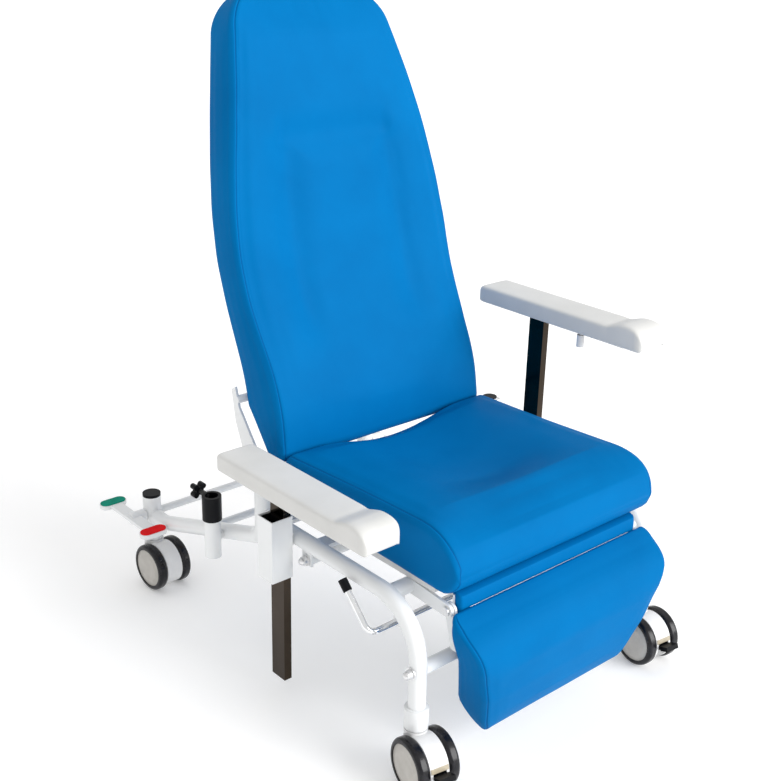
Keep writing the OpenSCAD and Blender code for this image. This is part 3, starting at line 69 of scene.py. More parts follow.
def placed(name, data):
    """The scene's object for a mesh, camera or light."""
    obj = bpy.data.objects.new(name, data)
    bpy.context.scene.collection.objects.link(obj)
    return obj


def piece_from_grid(name, grid, looped=False):
    """A closed piece from a grid of points (rings, points, 3), its faces turned outwards: each end
    is closed round its middle point, or the last ring is joined to the first where the piece is
    looped."""
    rings, around = grid.shape[:2]
    points = grid.reshape(-1, 3)
    row = np.arange(rings if looped else rings - 1)[:, None] * around
    next_row = (row + around) % (rings * around)
    col = np.arange(around)[None, :]
    after = (col + 1) % around
    quads = np.stack([row + col, row + after, next_row + after, next_row + col], axis=-1)
    faces = quads.reshape(-1, 4).tolist()
    if not looped:
        points = np.vstack([points, grid[0].mean(axis=0), grid[-1].mean(axis=0)])
        first = rings * around
        j = np.arange(around)
        start = np.stack([np.full(around, first), (j + 1) % around, j], axis=-1)
        last = (rings - 1) * around
        end = np.stack([np.full(around, first + 1), last + j, last + (j + 1) % around], axis=-1)
        faces += start.tolist() + end.tolist()
    mesh = bpy.data.meshes.new(name)
    mesh.from_pydata(points.tolist(), [], faces)
    mesh.validate()
    mesh.shade_smooth()
    work = bmesh.new()
    work.from_mesh(mesh)
    bmesh.ops.recalc_face_normals(work, faces=work.faces)
    work.to_mesh(mesh)
    work.free()
    return placed(name, mesh)


def joined(name, pieces):
    """Several pieces made one object."""
    work = bmesh.new()
    for piece in pieces:
        work.from_mesh(piece.data)
        bpy.data.objects.remove(piece)
    mesh = bpy.data.meshes.new(name)
    work.to_mesh(mesh)
    work.free()
    mesh.shade_smooth()
    return placed(name, mesh)


def swept(name, path, radius, around, closed=False):
    """A round bar along a path: each ring is a circle square to the path, turned as little as
    possible from the last."""
    path = np.asarray(path, float)
    if closed:
        tangent = np.roll(path, -1, axis=0) - np.roll(path, 1, axis=0)
    else:
        tangent = np.gradient(path, axis=0)
    tangent /= np.linalg.norm(tangent, axis=1)[:, None]
    side = np.cross(tangent[0], OFF_AXIS)
    side /= np.linalg.norm(side)
    sides = []
    for t in tangent:
        side = side - t * np.dot(side, t)
        side /= np.linalg.norm(side)
        sides.append(side)
    sides = np.array(sides)
    other = np.cross(tangent, sides)
    a = np.linspace(0, 2 * np.pi, around, endpoint=False)
    radius = np.broadcast_to(radius, len(path))
    ring = np.cos(a)[None, :, None] * sides[:, None, :] + np.sin(a)[None, :, None] * other[:, None, :]
    grid = path[:, None, :] + ring * radius[:, None, None]
    return piece_from_grid(name, grid, looped=closed)


def soft(value, power):
    """A sine or cosine raised to a power with its sign kept: it makes a ring a soft rectangle."""
    return np.sign(value) * np.abs(value) ** power


def round_share(d, r, power):
    """Height of a rounded end of length r at a distance d from the end, as a share of the full
    height: a quarter circle at power 2, and squarer above."""
    t = np.clip(1 - d / r, 0, 1)
    return (1 - t ** power) ** (1 / power)


def tapered(least, share):
    """What is left of a size, as a share: from least to 1 as share goes from 0 to 1."""
    return least + (1 - least) * share


def ease(t):
    """Smooth step from 0 to 1."""
    t = np.clip(t, 0, 1)
    return t * t * (3 - 2 * t)


def groove(t, width):
    """A narrow dip of depth 1 at t = 0, shaped as a bell."""
    return np.exp(-(t / width) ** 2)


def end_shares(n):
    """Shares from 0 to 1, closer together at both ends."""
    return (1 - np.cos(np.linspace(0, np.pi, n))) / 2


def sunk(grid, depth):
    """Moves each point of a closed grid inwards by depth, along the cross product of the grid's two
    directions."""
    du = np.gradient(grid, axis=0)
    dv = (np.roll(grid, -1, axis=1) - np.roll(grid, 1, axis=1)) / 2
    normal = np.cross(du, dv)
    normal /= np.linalg.norm(normal, axis=2)[:, :, None] + TINY
    middle = grid.mean(axis=1, keepdims=True)
    outward = np.sign((normal * (grid - middle)).sum(axis=2, keepdims=True))
    return grid - normal * outward * depth[:, :, None]


# Materials
def material(name, build):
    """A node material; build gets the tree, its shader and the Object coordinates."""
    mat = bpy.data.materials.new(name)
    mat.use_nodes = True
    tree = mat.node_tree
    shader = tree.nodes["Principled BSDF"]
    coord = tree.nodes.new("ShaderNodeTexCoord").outputs["Object"]
    build(tree, shader, coord)
    return mat


def noise(tree, coord, scale, detail, rough=0.55):
    """Cloudy noise, scale lumps to the metre."""
    n = tree.nodes.new("ShaderNodeTexNoise")
    n.inputs["Scale"].default_value = scale
    n.inputs["Detail"].default_value = detail
    n.inputs["Roughness"].default_value = rough
    tree.links.new(coord, n.inputs["Vector"])
    return n.outputs["Fac"]


def grain(tree, coord, scale):
    """Cells of a leather-like grain, scale cells to the metre."""
    v = tree.nodes.new("ShaderNodeTexVoronoi")
    v.inputs["Scale"].default_value = scale
    tree.links.new(coord, v.inputs["Vector"])
    return v.outputs["Distance"]


def drawn_out(tree, coord, scale):
    """Coordinates scaled along each axis: a pattern on them is drawn out where the scale is
    small."""
    stretch = tree.nodes.new("ShaderNodeMapping")
    stretch.inputs["Scale"].default_value = scale
    tree.links.new(coord, stretch.inputs["Vector"])
    return stretch.outputs["Vector"]


def tint(tree, shader, value, low, high, start=0.3, end=0.7):
    """Base colour between low and high, read from a value between start and end."""
    r = tree.nodes.new("ShaderNodeValToRGB")
    r.color_ramp.elements[0].position = start
    r.color_ramp.elements[0].color = (*low, 1)
    r.color_ramp.elements[1].position = end
    r.color_ramp.elements[1].color = (*high, 1)
    tree.links.new(value, r.inputs["Fac"])
    tree.links.new(r.outputs["Color"], shader.inputs["Base Color"])


def gloss(tree, shader, value, low, high):
    """Roughness from low to high as a value goes from 0 to 1."""
    m = tree.nodes.new("ShaderNodeMapRange")
    m.inputs["To Min"].default_value = low
    m.inputs["To Max"].default_value = high
    tree.links.new(value, m.inputs["Value"])
    tree.links.new(m.outputs["Result"], shader.inputs["Roughness"])


def bump(tree, shader, height, distance, strength, under=None):
    """Surface relief from a height, distance metres deep, on top of the relief under it."""
    b = tree.nodes.new("ShaderNodeBump")
    b.inputs["Strength"].default_value = strength
    b.inputs["Distance"].default_value = distance
    tree.links.new(height, b.inputs["Height"])
    if under is not None:
        tree.links.new(under, b.inputs["Normal"])
    tree.links.new(b.outputs["Normal"], shader.inputs["Normal"])
    return b.outputs["Normal"]


def blue_vinyl(tree, shader, coord):
    """Coated upholstery cloth: fine leather grain, dull sheen, slight unevenness of colour."""
    cloud = noise(tree, coord, 7, 4)
    tint(tree, shader, cloud, (0.0, 0.126, 0.350), (0.0, 0.143, 0.388))
    gloss(tree, shader, noise(tree, coord, 140, 3), 0.46, 0.58)
    first = bump(tree, shader, grain(tree, coord, 1250), 0.00012, 0.5)
    bump(tree, shader, noise(tree, coord, 42, 4), 0.0006, 0.18, under=first)
    shader.inputs["Specular IOR Level"].default_value = 0.02


def blue_thread(tree, shader, coord):
    """The stitched line of a seam, darker than the cover, with the twist of its thread."""
    cloud = noise(tree, coord, 700, 2)
    tint(tree, shader, cloud, (0.0, 0.060, 0.22), (0.0, 0.082, 0.28))
    gloss(tree, shader, cloud, 0.6, 0.8)
    bump(tree, shader, noise(tree, coord, 1800, 2), 0.0002, 0.5)
    shader.inputs["Specular IOR Level"].default_value = 0.1


def powder_white(tree, shader, coord):
    """White powder coat with its fine orange peel."""
    cloud = noise(tree, coord, 6, 3)
    tint(tree, shader, cloud, (0.755, 0.768, 0.772), (0.805, 0.818, 0.822))
    gloss(tree, shader, noise(tree, coord, 90, 3), 0.26, 0.38)
    bump(tree, shader, noise(tree, coord, 620, 2), 0.00012, 0.35)
    shader.inputs["Coat Weight"].default_value = 0.25
    shader.inputs["Coat Roughness"].default_value = 0.15


def moulded_foam(tree, shader, coord):
    """Off-white moulded foam skin: leather grain and faint handling marks."""
    cloud = noise(tree, coord, 14, 4)
    tint(tree, shader, cloud, (0.62, 0.618, 0.60), (0.665, 0.662, 0.645))
    gloss(tree, shader, noise(tree, coord, 60, 3), 0.42, 0.58)
    first = bump(tree, shader, grain(tree, coord, 900), 0.00015, 0.5)
    bump(tree, shader, noise(tree, coord, 160, 3), 0.0002, 0.25, under=first)
    shader.inputs["Specular IOR Level"].default_value = 0.25


def polished_steel(tree, shader, coord):
    """Drawn steel with faint draw lines along its length; its near-black base colour is a painted reflection of a
    dim room.
    """
    lines = noise(tree, drawn_out(tree, coord, (1.0, 1.0, 0.02)), 900, 2)
    cloud = noise(tree, coord, 5, 3)
    # Painted reflection: this dark brown base colour stands in for a dim room mirrored in the steel, not the
    # steel's own colour.
    tint(tree, shader, cloud, (0.030, 0.022, 0.015), (0.062, 0.047, 0.035))
    gloss(tree, shader, lines, 0.10, 0.22)
    bump(tree, shader, lines, 0.00004, 0.3)
    shader.inputs["Metallic"].default_value = 1.0


def bright_steel(tree, shader, coord):
    """Chromed rod."""
    cloud = noise(tree, coord, 30, 3)
    tint(tree, shader, cloud, (0.80, 0.81, 0.82), (0.90, 0.90, 0.91))
    gloss(tree, shader, noise(tree, coord, 240, 2), 0.08, 0.18)
    bump(tree, shader, noise(tree, coord, 900, 2), 0.00003, 0.2)
    shader.inputs["Metallic"].default_value = 1.0


def zinc_steel(tree, shader, coord):
    """Zinc-plated fastener with its mottled lustre."""
    cloud = noise(tree, coord, 220, 4)
    tint(tree, shader, cloud, (0.66, 0.66, 0.67), (0.82, 0.82, 0.82))
    gloss(tree, shader, cloud, 0.22, 0.42)
    bump(tree, shader, noise(tree, coord, 800, 2), 0.00005, 0.3)
    shader.inputs["Metallic"].default_value = 1.0


def black_moulding(tree, shader, coord):
    """Black moulded plastic with a fine spark-eroded grain."""
    cloud = noise(tree, coord, 40, 3)
    tint(tree, shader, cloud, (0.0015, 0.0018, 0.003), (0.004, 0.0045, 0.006))
    gloss(tree, shader, noise(tree, coord, 300, 2), 0.34, 0.5)
    bump(tree, shader, noise(tree, coord, 1500, 2), 0.00008, 0.45)
    shader.inputs["Specular IOR Level"].default_value = 0.14


def black_paint(tree, shader, coord):
    """Black stove enamel on flat steel."""
    cloud = noise(tree, coord, 25, 3)
    tint(tree, shader, cloud, (0.012, 0.012, 0.013), (0.025, 0.025, 0.026))
    gloss(tree, shader, noise(tree, coord, 180, 2), 0.28, 0.42)
    bump(tree, shader, noise(tree, coord, 700, 2), 0.00007, 0.3)


def white_moulding(tree, shader, coord):
    """Smooth white plastic of the caster housings and knobs."""
    cloud = noise(tree, coord, 35, 3)
    tint(tree, shader, cloud, (0.74, 0.74, 0.74), (0.80, 0.80, 0.80))
    gloss(tree, shader, noise(tree, coord, 160, 2), 0.28, 0.38)
    bump(tree, shader, noise(tree, coord, 900, 2), 0.00004, 0.3)


def wheel_cover(tree, shader, coord):
    """Warm grey plastic wheel cover, with light scuffs."""
    cloud = noise(tree, coord, 45, 4)
    tint(tree, shader, cloud, (0.42, 0.40, 0.365), (0.50, 0.48, 0.445))
    gloss(tree, shader, noise(tree, coord, 500, 3), 0.32, 0.48)
    bump(tree, shader, noise(tree, coord, 1100, 2), 0.00005, 0.35)


def tyre_tread(tree, shader, coord):
    """Glossy black wheel rubber with dusty patches."""
    cloud = noise(tree, coord, 70, 5)
    tint(tree, shader, cloud, (0.006, 0.006, 0.008), (0.022, 0.022, 0.025), 0.45, 0.8)
    gloss(tree, shader, cloud, 0.10, 0.34)
    bump(tree, shader, noise(tree, coord, 260, 3), 0.0002, 0.25)
    shader.inputs["Specular IOR Level"].default_value = 0.3


def insert_plastic(low, high):
    """Coloured pedal insert with a fine non-slip grain."""
    def build(tree, shader, coord):
        cloud = noise(tree, coord, 60, 3)
        tint(tree, shader, cloud, low, high)
        gloss(tree, shader, noise(tree, coord, 200, 2), 0.25, 0.4)
        bump(tree, shader, grain(tree, coord, 700), 0.0002, 0.5)
        shader.inputs["Specular IOR Level"].default_value = 0.03
    return build


def plywood(tree, shader, coord):
    """Birch plywood: long grain with fine pores."""
    lines = noise(tree, drawn_out(tree, coord, (1.0, 0.06, 0.06)), 160, 6, 0.65)
    tint(tree, shader, lines, (0.36, 0.22, 0.11), (0.58, 0.41, 0.24))
    gloss(tree, shader, lines, 0.5, 0.7)
    bump(tree, shader, lines, 0.0003, 0.3)


def sealed_board(tree, shader, coord):
    """White sealed face of the seat board, with the fine print of its roller coat."""
    cloud = noise(tree, coord, 12, 3)
    tint(tree, shader, cloud, (0.70, 0.695, 0.68), (0.76, 0.755, 0.74))
    gloss(tree, shader, noise(tree, coord, 200, 2), 0.45, 0.6)
    bump(tree, shader, noise(tree, coord, 500, 3), 0.0001, 0.3)


FINISH = {
    "white_steel": material("white_powder_coat", powder_white),
    "cast_white": material("white_coated_casting", powder_white),
    "polished_steel": material("post_steel_painted_dim_reflection", polished_steel),
    "plain_steel": material("zinc_plate", zinc_steel),
    "black_plastic": material("black_moulding", black_moulding),
    "black_steel": material("black_enamel", black_paint),
    "blue_vinyl": material("blue_vinyl", blue_vinyl),
    "pad_foam": material("offwhite_moulded_foam", moulded_foam),
    "white_plastic": material("white_moulding", white_moulding),
    "wheel_grey": material("warm_grey_cover", wheel_cover),
    "tyre_black": material("wheel_rubber", tyre_tread),
    "green_plastic": material("green_insert", insert_plastic((0.0, 0.22, 0.145), (0.0, 0.29, 0.195))),
    "red_plastic": material("red_insert", insert_plastic((0.66, 0.003, 0.006), (0.80, 0.006, 0.010))),
    "board": material("birch_ply", plywood),
}
THREAD = material("blue_seam_thread", blue_thread)
ROD = material("chromed_rod", bright_steel)
SEALED = material("sealed_board", sealed_board)
OWN_FINISH = {"lever_rod": ROD, "back_gas_rod": ROD, "leg_gas_rod": ROD, "seat_board": SEALED}

slot_of = {s["node"]: s["material_slot"] for s in frame["record"]["subparts"]}
for node, obj in NODES.items():
    finish = OWN_FINISH.get(node, FINISH[slot_of[node]])
    obj.data.materials.clear()
    obj.data.materials.append(finish)


def dress(piece, slot, body, replaced=(), finish=None):
    """Gives a piece a finish, the one passed or else its slot's, and its body, and lets it stand for CAD nodes."""
    piece.data.materials.clear()
    piece.data.materials.append(finish or FINISH[slot])
    if replaced:
        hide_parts(*replaced)
    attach(piece, body)
    return piece


# Soft boxes: the rings that the cushions share, with angles in degrees round a ring's corners
END_GAP = 0.0003
CORNER_POINTS, TOP_POINTS, SIDE_POINTS = 24, 76, 14
CORNER_R, CORNER_T_SHARE = 0.015, 0.97
SEAM_ANGLE, SEAM_W_ANGLE, SEAM_DIP, THREAD_R = 60, 5, 0.0018, 0.0005
DIP_START, UNEVEN, LEG_UNEVEN = 0.004, 0.0006, 0.0005
FRONT_POWER = 2.2
# Each slow wave of the covers: its turns along the three axes, its phase and its height
WAVES = [((23, 11, 0), 1.3, 1), ((0, 17, -19), 0.4, 1), ((13, 0, 29), 2.1, 1), ((47, -31, 37), 0, 0.6)]
STUFF_PRESSURE, STUFF_STIFF, STUFF_BEND, STUFF_QUALITY = 4.0, 25, 2, 6
STUFF_STEP, STUFF_FRAMES = 4, 20


def boxed_ring():
    """The ring of a soft box, from its +X side round by its top. Each point has the corner it
    belongs to (from -1 to 1 along each side) and the direction of that corner's radius."""
    rows = []
    corners = [(1, 1), (-1, 1), (-1, -1), (1, -1)]
    for k in range(4):
        t = np.radians(90 * k + np.linspace(0, 90, CORNER_POINTS, endpoint=False))
        here, after = np.array(corners[k]), np.array(corners[(k + 1) % 4])
        rows.append(np.stack([0 * t + here[0], 0 * t + here[1], np.cos(t), np.sin(t)], axis=1))
        count = TOP_POINTS if k % 2 == 0 else SIDE_POINTS
        along = np.linspace(0, 1, count, endpoint=False)[:, None]
        end = math.radians(90 * k + 90)
        turn = np.broadcast_to([round(math.cos(end)), round(math.sin(end))], (count, 2))
        rows.append(np.hstack([here * (1 - along) + after * along, turn]))
    return np.vstack(rows).T


CX, CZ, AX, AZ = boxed_ring()
TURN = np.degrees(np.arctan2(AZ, AX)) % 360
IN_CORNER = (np.abs(CX) == 1) & (np.abs(CZ) == 1)
SEAM_STEP = round(CORNER_POINTS * SEAM_ANGLE / 90)
SEAM_RIGHT = SEAM_STEP
SEAM_LEFT = CORNER_POINTS + TOP_POINTS + CORNER_POINTS - SEAM_STEP
UNDER_LEFT = CORNER_POINTS * 2 + TOP_POINTS + SIDE_POINTS + SEAM_STEP
UNDER_RIGHT = CORNER_POINTS * 3 + TOP_POINTS * 2 + SIDE_POINTS + CORNER_POINTS - SEAM_STEP


def box_points(half_w, half_t, corner=CORNER_R):
    """Ring points across (x) and through (z) a cushion: straight sides joined by corner rounds,
    which never take more than nearly half the thickness."""
    r = np.minimum(corner, half_t * CORNER_T_SHARE)
    return CX * (half_w - r) + r * AX, CZ * (half_t - r) + r * AZ


def seam_dips(under=False):
    """How deep each ring point sinks at the seams: a narrow dip at the seam's angle in the upper
    corners, and in the lower ones where they are sewn too."""
    angles = [SEAM_ANGLE, 180 - SEAM_ANGLE]
    if under:
        angles += [180 + SEAM_ANGLE, 360 - SEAM_ANGLE]
    return SEAM_DIP * sum(groove(TURN - angle, SEAM_W_ANGLE) for angle in angles) * IN_CORNER


def uneven(grid, size):
    """Slow unevenness of stuffed foam: a sum of sine waves in different directions, brought to size."""
    waves = sum(height * np.sin(grid @ np.array(turns) + phase) for turns, phase, height in WAVES)
    return size * waves / sum(height for turns, phase, height in WAVES)


def seam_lines(name, paths, body):
    """The stitched lines that lie in the seams' dips, as one piece."""
    lines = [swept("%s_%d" % (name, i), path, THREAD_R, around=8) for i, path in enumerate(paths)]
    dress(joined(name, lines), "blue_vinyl", body, finish=THREAD)


def side_seams(grid, start, stop, back_to=None):
    """The two seams along a cushion's upper side corners; with back_to each turns over the last
    ring and comes back along the lower corner to that ring."""
    paths = []
    for over, under in ((SEAM_RIGHT, UNDER_RIGHT), (SEAM_LEFT, UNDER_LEFT)):
        path = grid[start:stop, over]
        if back_to is not None:
            path = np.concatenate([path, grid[back_to:stop, under][::-1]])
        paths.append(path)
    return paths


def laid_back(shift, rows, cols, rings, points):
    """The coarse points' shifts laid on the fine grid: in proportion between two rings, and eased
    between two points of a ring."""
    ring, point = np.arange(rings), np.arange(points)
    row = np.minimum(np.searchsorted(rows, ring, side="right"), len(rows) - 1) - 1
    share = ((ring - rows[row]) / (rows[row + 1] - rows[row]))[:, None, None]
    along = shift[row] * (1 - share) + shift[row + 1] * share
    along = np.concatenate([along, along[:, :1]], axis=1)
    cols = np.append(cols, points)
    col = np.searchsorted(cols, point, side="right") - 1
    share = ease((point - cols[col]) / (cols[col + 1] - cols[col]))[None, :, None]
    return along[:, col] * (1 - share) + along[:, col + 1] * share


def stuffed(name, grid, held, cap):
    """A cover blown up by its stuffing: a cloth simulation under pressure on a coarser copy of the
    grid, held where the cover is sewn or rests; the fine grid then moves as the coarse one did, no
    point by more than cap."""
    rings, points = grid.shape[:2]
    rows = np.unique(np.append(np.arange(0, rings, STUFF_STEP), rings - 1))
    cols = np.arange(0, points, STUFF_STEP)
    coarse = grid[rows][:, cols]
    piece = piece_from_grid(name + "_stuffing", coarse)
    pins = piece.vertex_groups.new(name="held")
    count = len(rows) * len(cols)
    marked = np.flatnonzero(held[rows][:, cols].reshape(-1))
    pins.add(marked.tolist() + [count, count + 1], 1.0, "REPLACE")
    cloth = piece.modifiers.new("stuffing", "CLOTH")
    cloth.settings.vertex_group_mass = "held"
    cloth.settings.use_pressure = True
    cloth.settings.uniform_pressure_force = STUFF_PRESSURE
    cloth.settings.effector_weights.gravity = 0.0
    cloth.settings.quality = STUFF_QUALITY
    cloth.settings.tension_stiffness = STUFF_STIFF
    cloth.settings.compression_stiffness = STUFF_STIFF
    cloth.settings.bending_stiffness = STUFF_BEND
    scene = bpy.context.scene
    for number in range(1, STUFF_FRAMES + 1):
        scene.frame_set(number)
    moved = piece.evaluated_get(bpy.context.evaluated_depsgraph_get())
    xyz = np.empty(len(moved.data.vertices) * 3)
    moved.data.vertices.foreach_get("co", xyz)
    shift = xyz.reshape(-1, 3)[:count].reshape(coarse.shape) - coarse
    scene.frame_set(1)
    bpy.data.objects.remove(piece)
    size = np.linalg.norm(shift, axis=2, keepdims=True)
    shift = shift * np.minimum(1, cap / np.maximum(size, TINY))
    return grid + laid_back(shift, rows, cols, rings, points)


# Seat cushion
SEAT_REAR_Y, SEAT_FRONT_Y = 0.004, -0.453
SEAT_UNDER_Z, SEAT_NOSE_Z = 0.333, 0.374
SEAT_REAR_Z, SEAT_FRONT_Z = 0.432, 0.448
SEAT_HALF_W, SEAT_FRONT_W_SHARE, SEAT_REAR_DRAW, SIDE_DRAW = 0.256, 0.96, 0.007, 0.005
SEAT_FRONT_ROLL, SEAT_UNDER_ROLL, SEAT_REAR_ROUND, SEAT_CORNER_R = 0.096, 0.044, 0.020, 0.034
SEAT_REAR_DROP_SHARE, SEAT_REAR_UNDER_SHARE, SEAT_DIP_REACH = 0.5, 0.92, 0.02
SEAT_DISH, DISH_W_SHARE = 0.030, 0.70
DISH_REAR_SHARE, DISH_REAR_REACH_SHARE = 0.62, 0.35
DISH_FRONT_SHARE, DISH_FRONT_REACH_SHARE = 0.16, 0.26


def seat_grid(rings=190):
    """Rings across the seat from rear to front: soft boxes whose height follows the round of the
    front roll, less the square of a parabola for the dish, with a narrow dip where the top meets
    the side panels."""
    s = end_shares(rings)[:, None]
    depth = SEAT_REAR_Y - SEAT_FRONT_Y
    y = SEAT_REAR_Y - s * depth
    to_front = (1 - s) * depth + END_GAP
    to_rear = s * depth + END_GAP
    rise = SEAT_REAR_Z + (SEAT_FRONT_Z - SEAT_REAR_Z) * s - SEAT_NOSE_Z
    over_front = round_share(to_front, SEAT_FRONT_ROLL, FRONT_POWER)
    over_rear = round_share(to_rear, SEAT_REAR_ROUND, 2)
    under_front = round_share(to_front, SEAT_UNDER_ROLL, 2)
    high = SEAT_NOSE_Z + rise * (over_front - SEAT_REAR_DROP_SHARE * (1 - over_rear))
    fall = (SEAT_NOSE_Z - SEAT_UNDER_Z) * under_front * tapered(SEAT_REAR_UNDER_SHARE, over_rear)
    low = SEAT_NOSE_Z - fall
    half_w = ((SEAT_HALF_W - SIDE_DRAW * np.sin(np.pi * s))
              * tapered(SEAT_FRONT_W_SHARE, round_share(to_front, SEAT_CORNER_R, 2))
              - SEAT_REAR_DRAW * (1 - round_share(to_rear, SEAT_CORNER_R, 2)))
    x, z = box_points(half_w, (high - low) / 2)
    dish = (SEAT_DISH * np.clip(1 - (x / (half_w * DISH_W_SHARE)) ** 2, 0, 1) ** 2
            * tapered(DISH_REAR_SHARE, ease(to_rear / (depth * DISH_REAR_REACH_SHARE)))
            * ease((to_front - depth * DISH_FRONT_SHARE) / (depth * DISH_FRONT_REACH_SHARE)))
    z = (high + low) / 2 + z - dish * np.maximum(AZ, 0)
    grid = np.stack([x, y + 0 * x, z], axis=-1)
    dips = seam_dips() * ease((to_front - DIP_START) / SEAT_DIP_REACH)
    return sunk(grid, dips + uneven(grid, UNEVEN))


# Backrest
BACK_LEN, BACK_FOOT_U = 0.872, 0.017
BACK_HALF_W, BACK_TOP_W_SHARE, BACK_FOOT_W_SHARE = 0.256, 0.66, 0.975
BACK_REAR_V, LUMBAR_T, BACK_TUCK, BACK_TUCK_SLOPE = 0.080, 0.108, 0.044, 0.45
BACK_FULL, BACK_FULL_FROM_U, BACK_FULL_REACH = 0.008, 0.15, 0.25
BACK_TOP_ROUND, BACK_FOOT_ROUND, BACK_END_T_SHARE, BACK_FOOT_T_SHARE = 0.070, 0.018, 0.3, 0.25
BACK_DIP_REACH = 0.03
BOARD_HALF_W, BOARD_TOP_U, BOARD_ROOM, BOARD_EDGE = 0.170, 0.648, 0.014, 0.010
CHANNEL_DEPTH, CHANNEL_W, CHANNEL_X_SHARE, CHANNEL_TOP_SHARE = 0.0100, 0.032, 0.5, 0.68
CHANNEL_LOW_SHARE, CHANNEL_LOW_FADE, CHANNEL_HIGH_SHARE, CHANNEL_HIGH_FADE = 0.3, 6, 1.03, 14
TABLE_REACH_SHARE, TABLE_STEPS = 0.045, 19
# At each share of the back's height: its width as a share of the full width, and how far its front
# stands out as a share of the lumbar thickness
BACK_WIDTH_SHARES = np.array([[0, 0.998], [0.1, 0.99], [0.2, 0.985], [0.35, 1.01], [0.45, 1.015],
                              [0.55, 0.985], [0.65, 0.93], [0.75, 0.86], [0.85, 0.785],
                              [0.92, 0.73], [1, 0.67]])
BACK_FRONT_SHARES = np.array([[0, 0.88], [0.06, 0.965], [0.1, 1.0], [0.155, 0.985], [0.22, 0.9],
                              [0.285, 0.79], [0.35, 0.7], [0.42, 0.68], [0.5, 0.69], [0.6, 0.735],
                              [0.7, 0.78], [0.8, 0.77], [0.9, 0.715], [1, 0.62]])


def smooth_table(table, s):
    """A table of (share, value) read as a smooth curve: the straight reading averaged over a short
    stretch, weighted by the square of a cosine."""
    steps = np.linspace(-TABLE_REACH_SHARE, TABLE_REACH_SHARE, TABLE_STEPS)
    weights = np.cos(steps / TABLE_REACH_SHARE * np.pi / 2) ** 2
    values = np.array([np.interp(np.clip(s + d, 0, 1), table[:, 0], table[:, 1]) for d in steps])
    return (values * weights[:, None]).sum(axis=0) / weights.sum()


def back_to_world(x, u, v):
    """Places a point given across, up and behind the leaning back."""
    up = np.array([0, math.sin(BACK_LEAN), math.cos(BACK_LEAN)])
    behind = np.array([0, math.cos(BACK_LEAN), -math.sin(BACK_LEAN)])
    grid = BACK_PIVOT + u[..., None] * up + v[..., None] * behind
    grid[..., 0] = x
    return grid


def back_grid(rings=250):
    """Rings square to the back from its foot to its top: soft boxes whose width and front follow
    two tables, with a bell-shaped groove round the middle panel and a narrow dip along the side
    seams."""
    s = end_shares(rings)
    span = BACK_LEN - BACK_FOOT_U
    widths = smooth_table(BACK_WIDTH_SHARES, s)[:, None]
    fronts = smooth_table(BACK_FRONT_SHARES, s)[:, None]
    s = s[:, None]
    u = BACK_FOOT_U + s * span
    from_top = (1 - s) * span + END_GAP
    from_foot = s * span + END_GAP
    top_share = round_share(from_top, BACK_TOP_ROUND, FRONT_POWER)
    foot_share = round_share(from_foot, BACK_FOOT_ROUND, 2)
    half_w = (BACK_HALF_W * widths * tapered(BACK_TOP_W_SHARE, round_share(from_top, BACK_TOP_ROUND, 2))
              * tapered(BACK_FOOT_W_SHARE, foot_share))
    front = BACK_REAR_V - LUMBAR_T * fronts
    full = BACK_FULL * ease((u - BACK_FULL_FROM_U) / BACK_FULL_REACH)
    rear = np.minimum(BACK_REAR_V, BACK_TUCK + (u - BACK_TUCK) * BACK_TUCK_SLOPE) + full
    end_share = np.minimum(top_share, tapered(BACK_FOOT_T_SHARE, foot_share))
    x, z = box_points(half_w, (rear - front) / 2 * tapered(BACK_END_T_SHARE, end_share))
    v = (front + rear) / 2 - z
    up = s / CHANNEL_TOP_SHARE
    side_groove = (groove(np.abs(x) - half_w * CHANNEL_X_SHARE, CHANNEL_W)
                   * ease((up - CHANNEL_LOW_SHARE) * CHANNEL_LOW_FADE)
                   * ease((CHANNEL_HIGH_SHARE - up) * CHANNEL_HIGH_FADE))
    top_groove = (groove(u - BACK_FOOT_U - CHANNEL_TOP_SHARE * span, CHANNEL_W)
                  * ease((half_w * CHANNEL_X_SHARE - np.abs(x)) / CHANNEL_W + 1))
    v = v + CHANNEL_DEPTH * np.maximum(side_groove, top_groove) * np.maximum(AZ, 0)
    let_in = (ease((BOARD_HALF_W + BOARD_ROOM - np.abs(x)) / BOARD_EDGE)
              * ease((BOARD_TOP_U + BOARD_ROOM - u) / BOARD_EDGE) * np.clip(-AZ * 2, 0, 1))
    grid = back_to_world(x, u + 0 * x, v - full * let_in)
    dips = seam_dips(True) * ease((from_foot - DIP_START) / BACK_DIP_REACH)
    return sunk(grid, dips + uneven(grid, UNEVEN))


# Legrest and the strip above it
LEG_BACK_Y, LEG_TOP_Z, LEG_FOOT_Z = -0.4415, 0.304, 0.054
LEG_HALF_W, LEG_FOOT_HALF_W, LEG_T = 0.266, 0.180, 0.068
LEG_SLANT_Z, LEG_HEEL_Z, LEG_HEEL_Y, LEG_FOOT_SLOPE = 0.214, 0.108, -0.413, 0.8
LEG_TOP_ROUND, LEG_FOOT_ROUND, LEG_TIP_T, LEG_TIP_SHARE = 0.040, 0.026, 0.008, 0.2
LEG_SIDE_TOP, LEG_SIDE_FOOT, LEG_TOP_W_SHARE, LEG_FOOT_W_SHARE = 0.054, 0.036, 0.895, 0.92
LEG_TAPER_POWER, LEG_BACK_GAP, LEG_CORNER_R = 0.85, 0.0003, 0.013
LEG_SOFT_SHARE, LEG_SOFT_STEPS, LEG_SOFT_END_SHARE = 0.02, 9, 0.03
HEEL_SOFT, HEEL_SOFT_SHARE = 0.012, 0.25
LEG_DIP_SHARE, LEG_DIP_REACH_SHARE = 0.1, 0.4
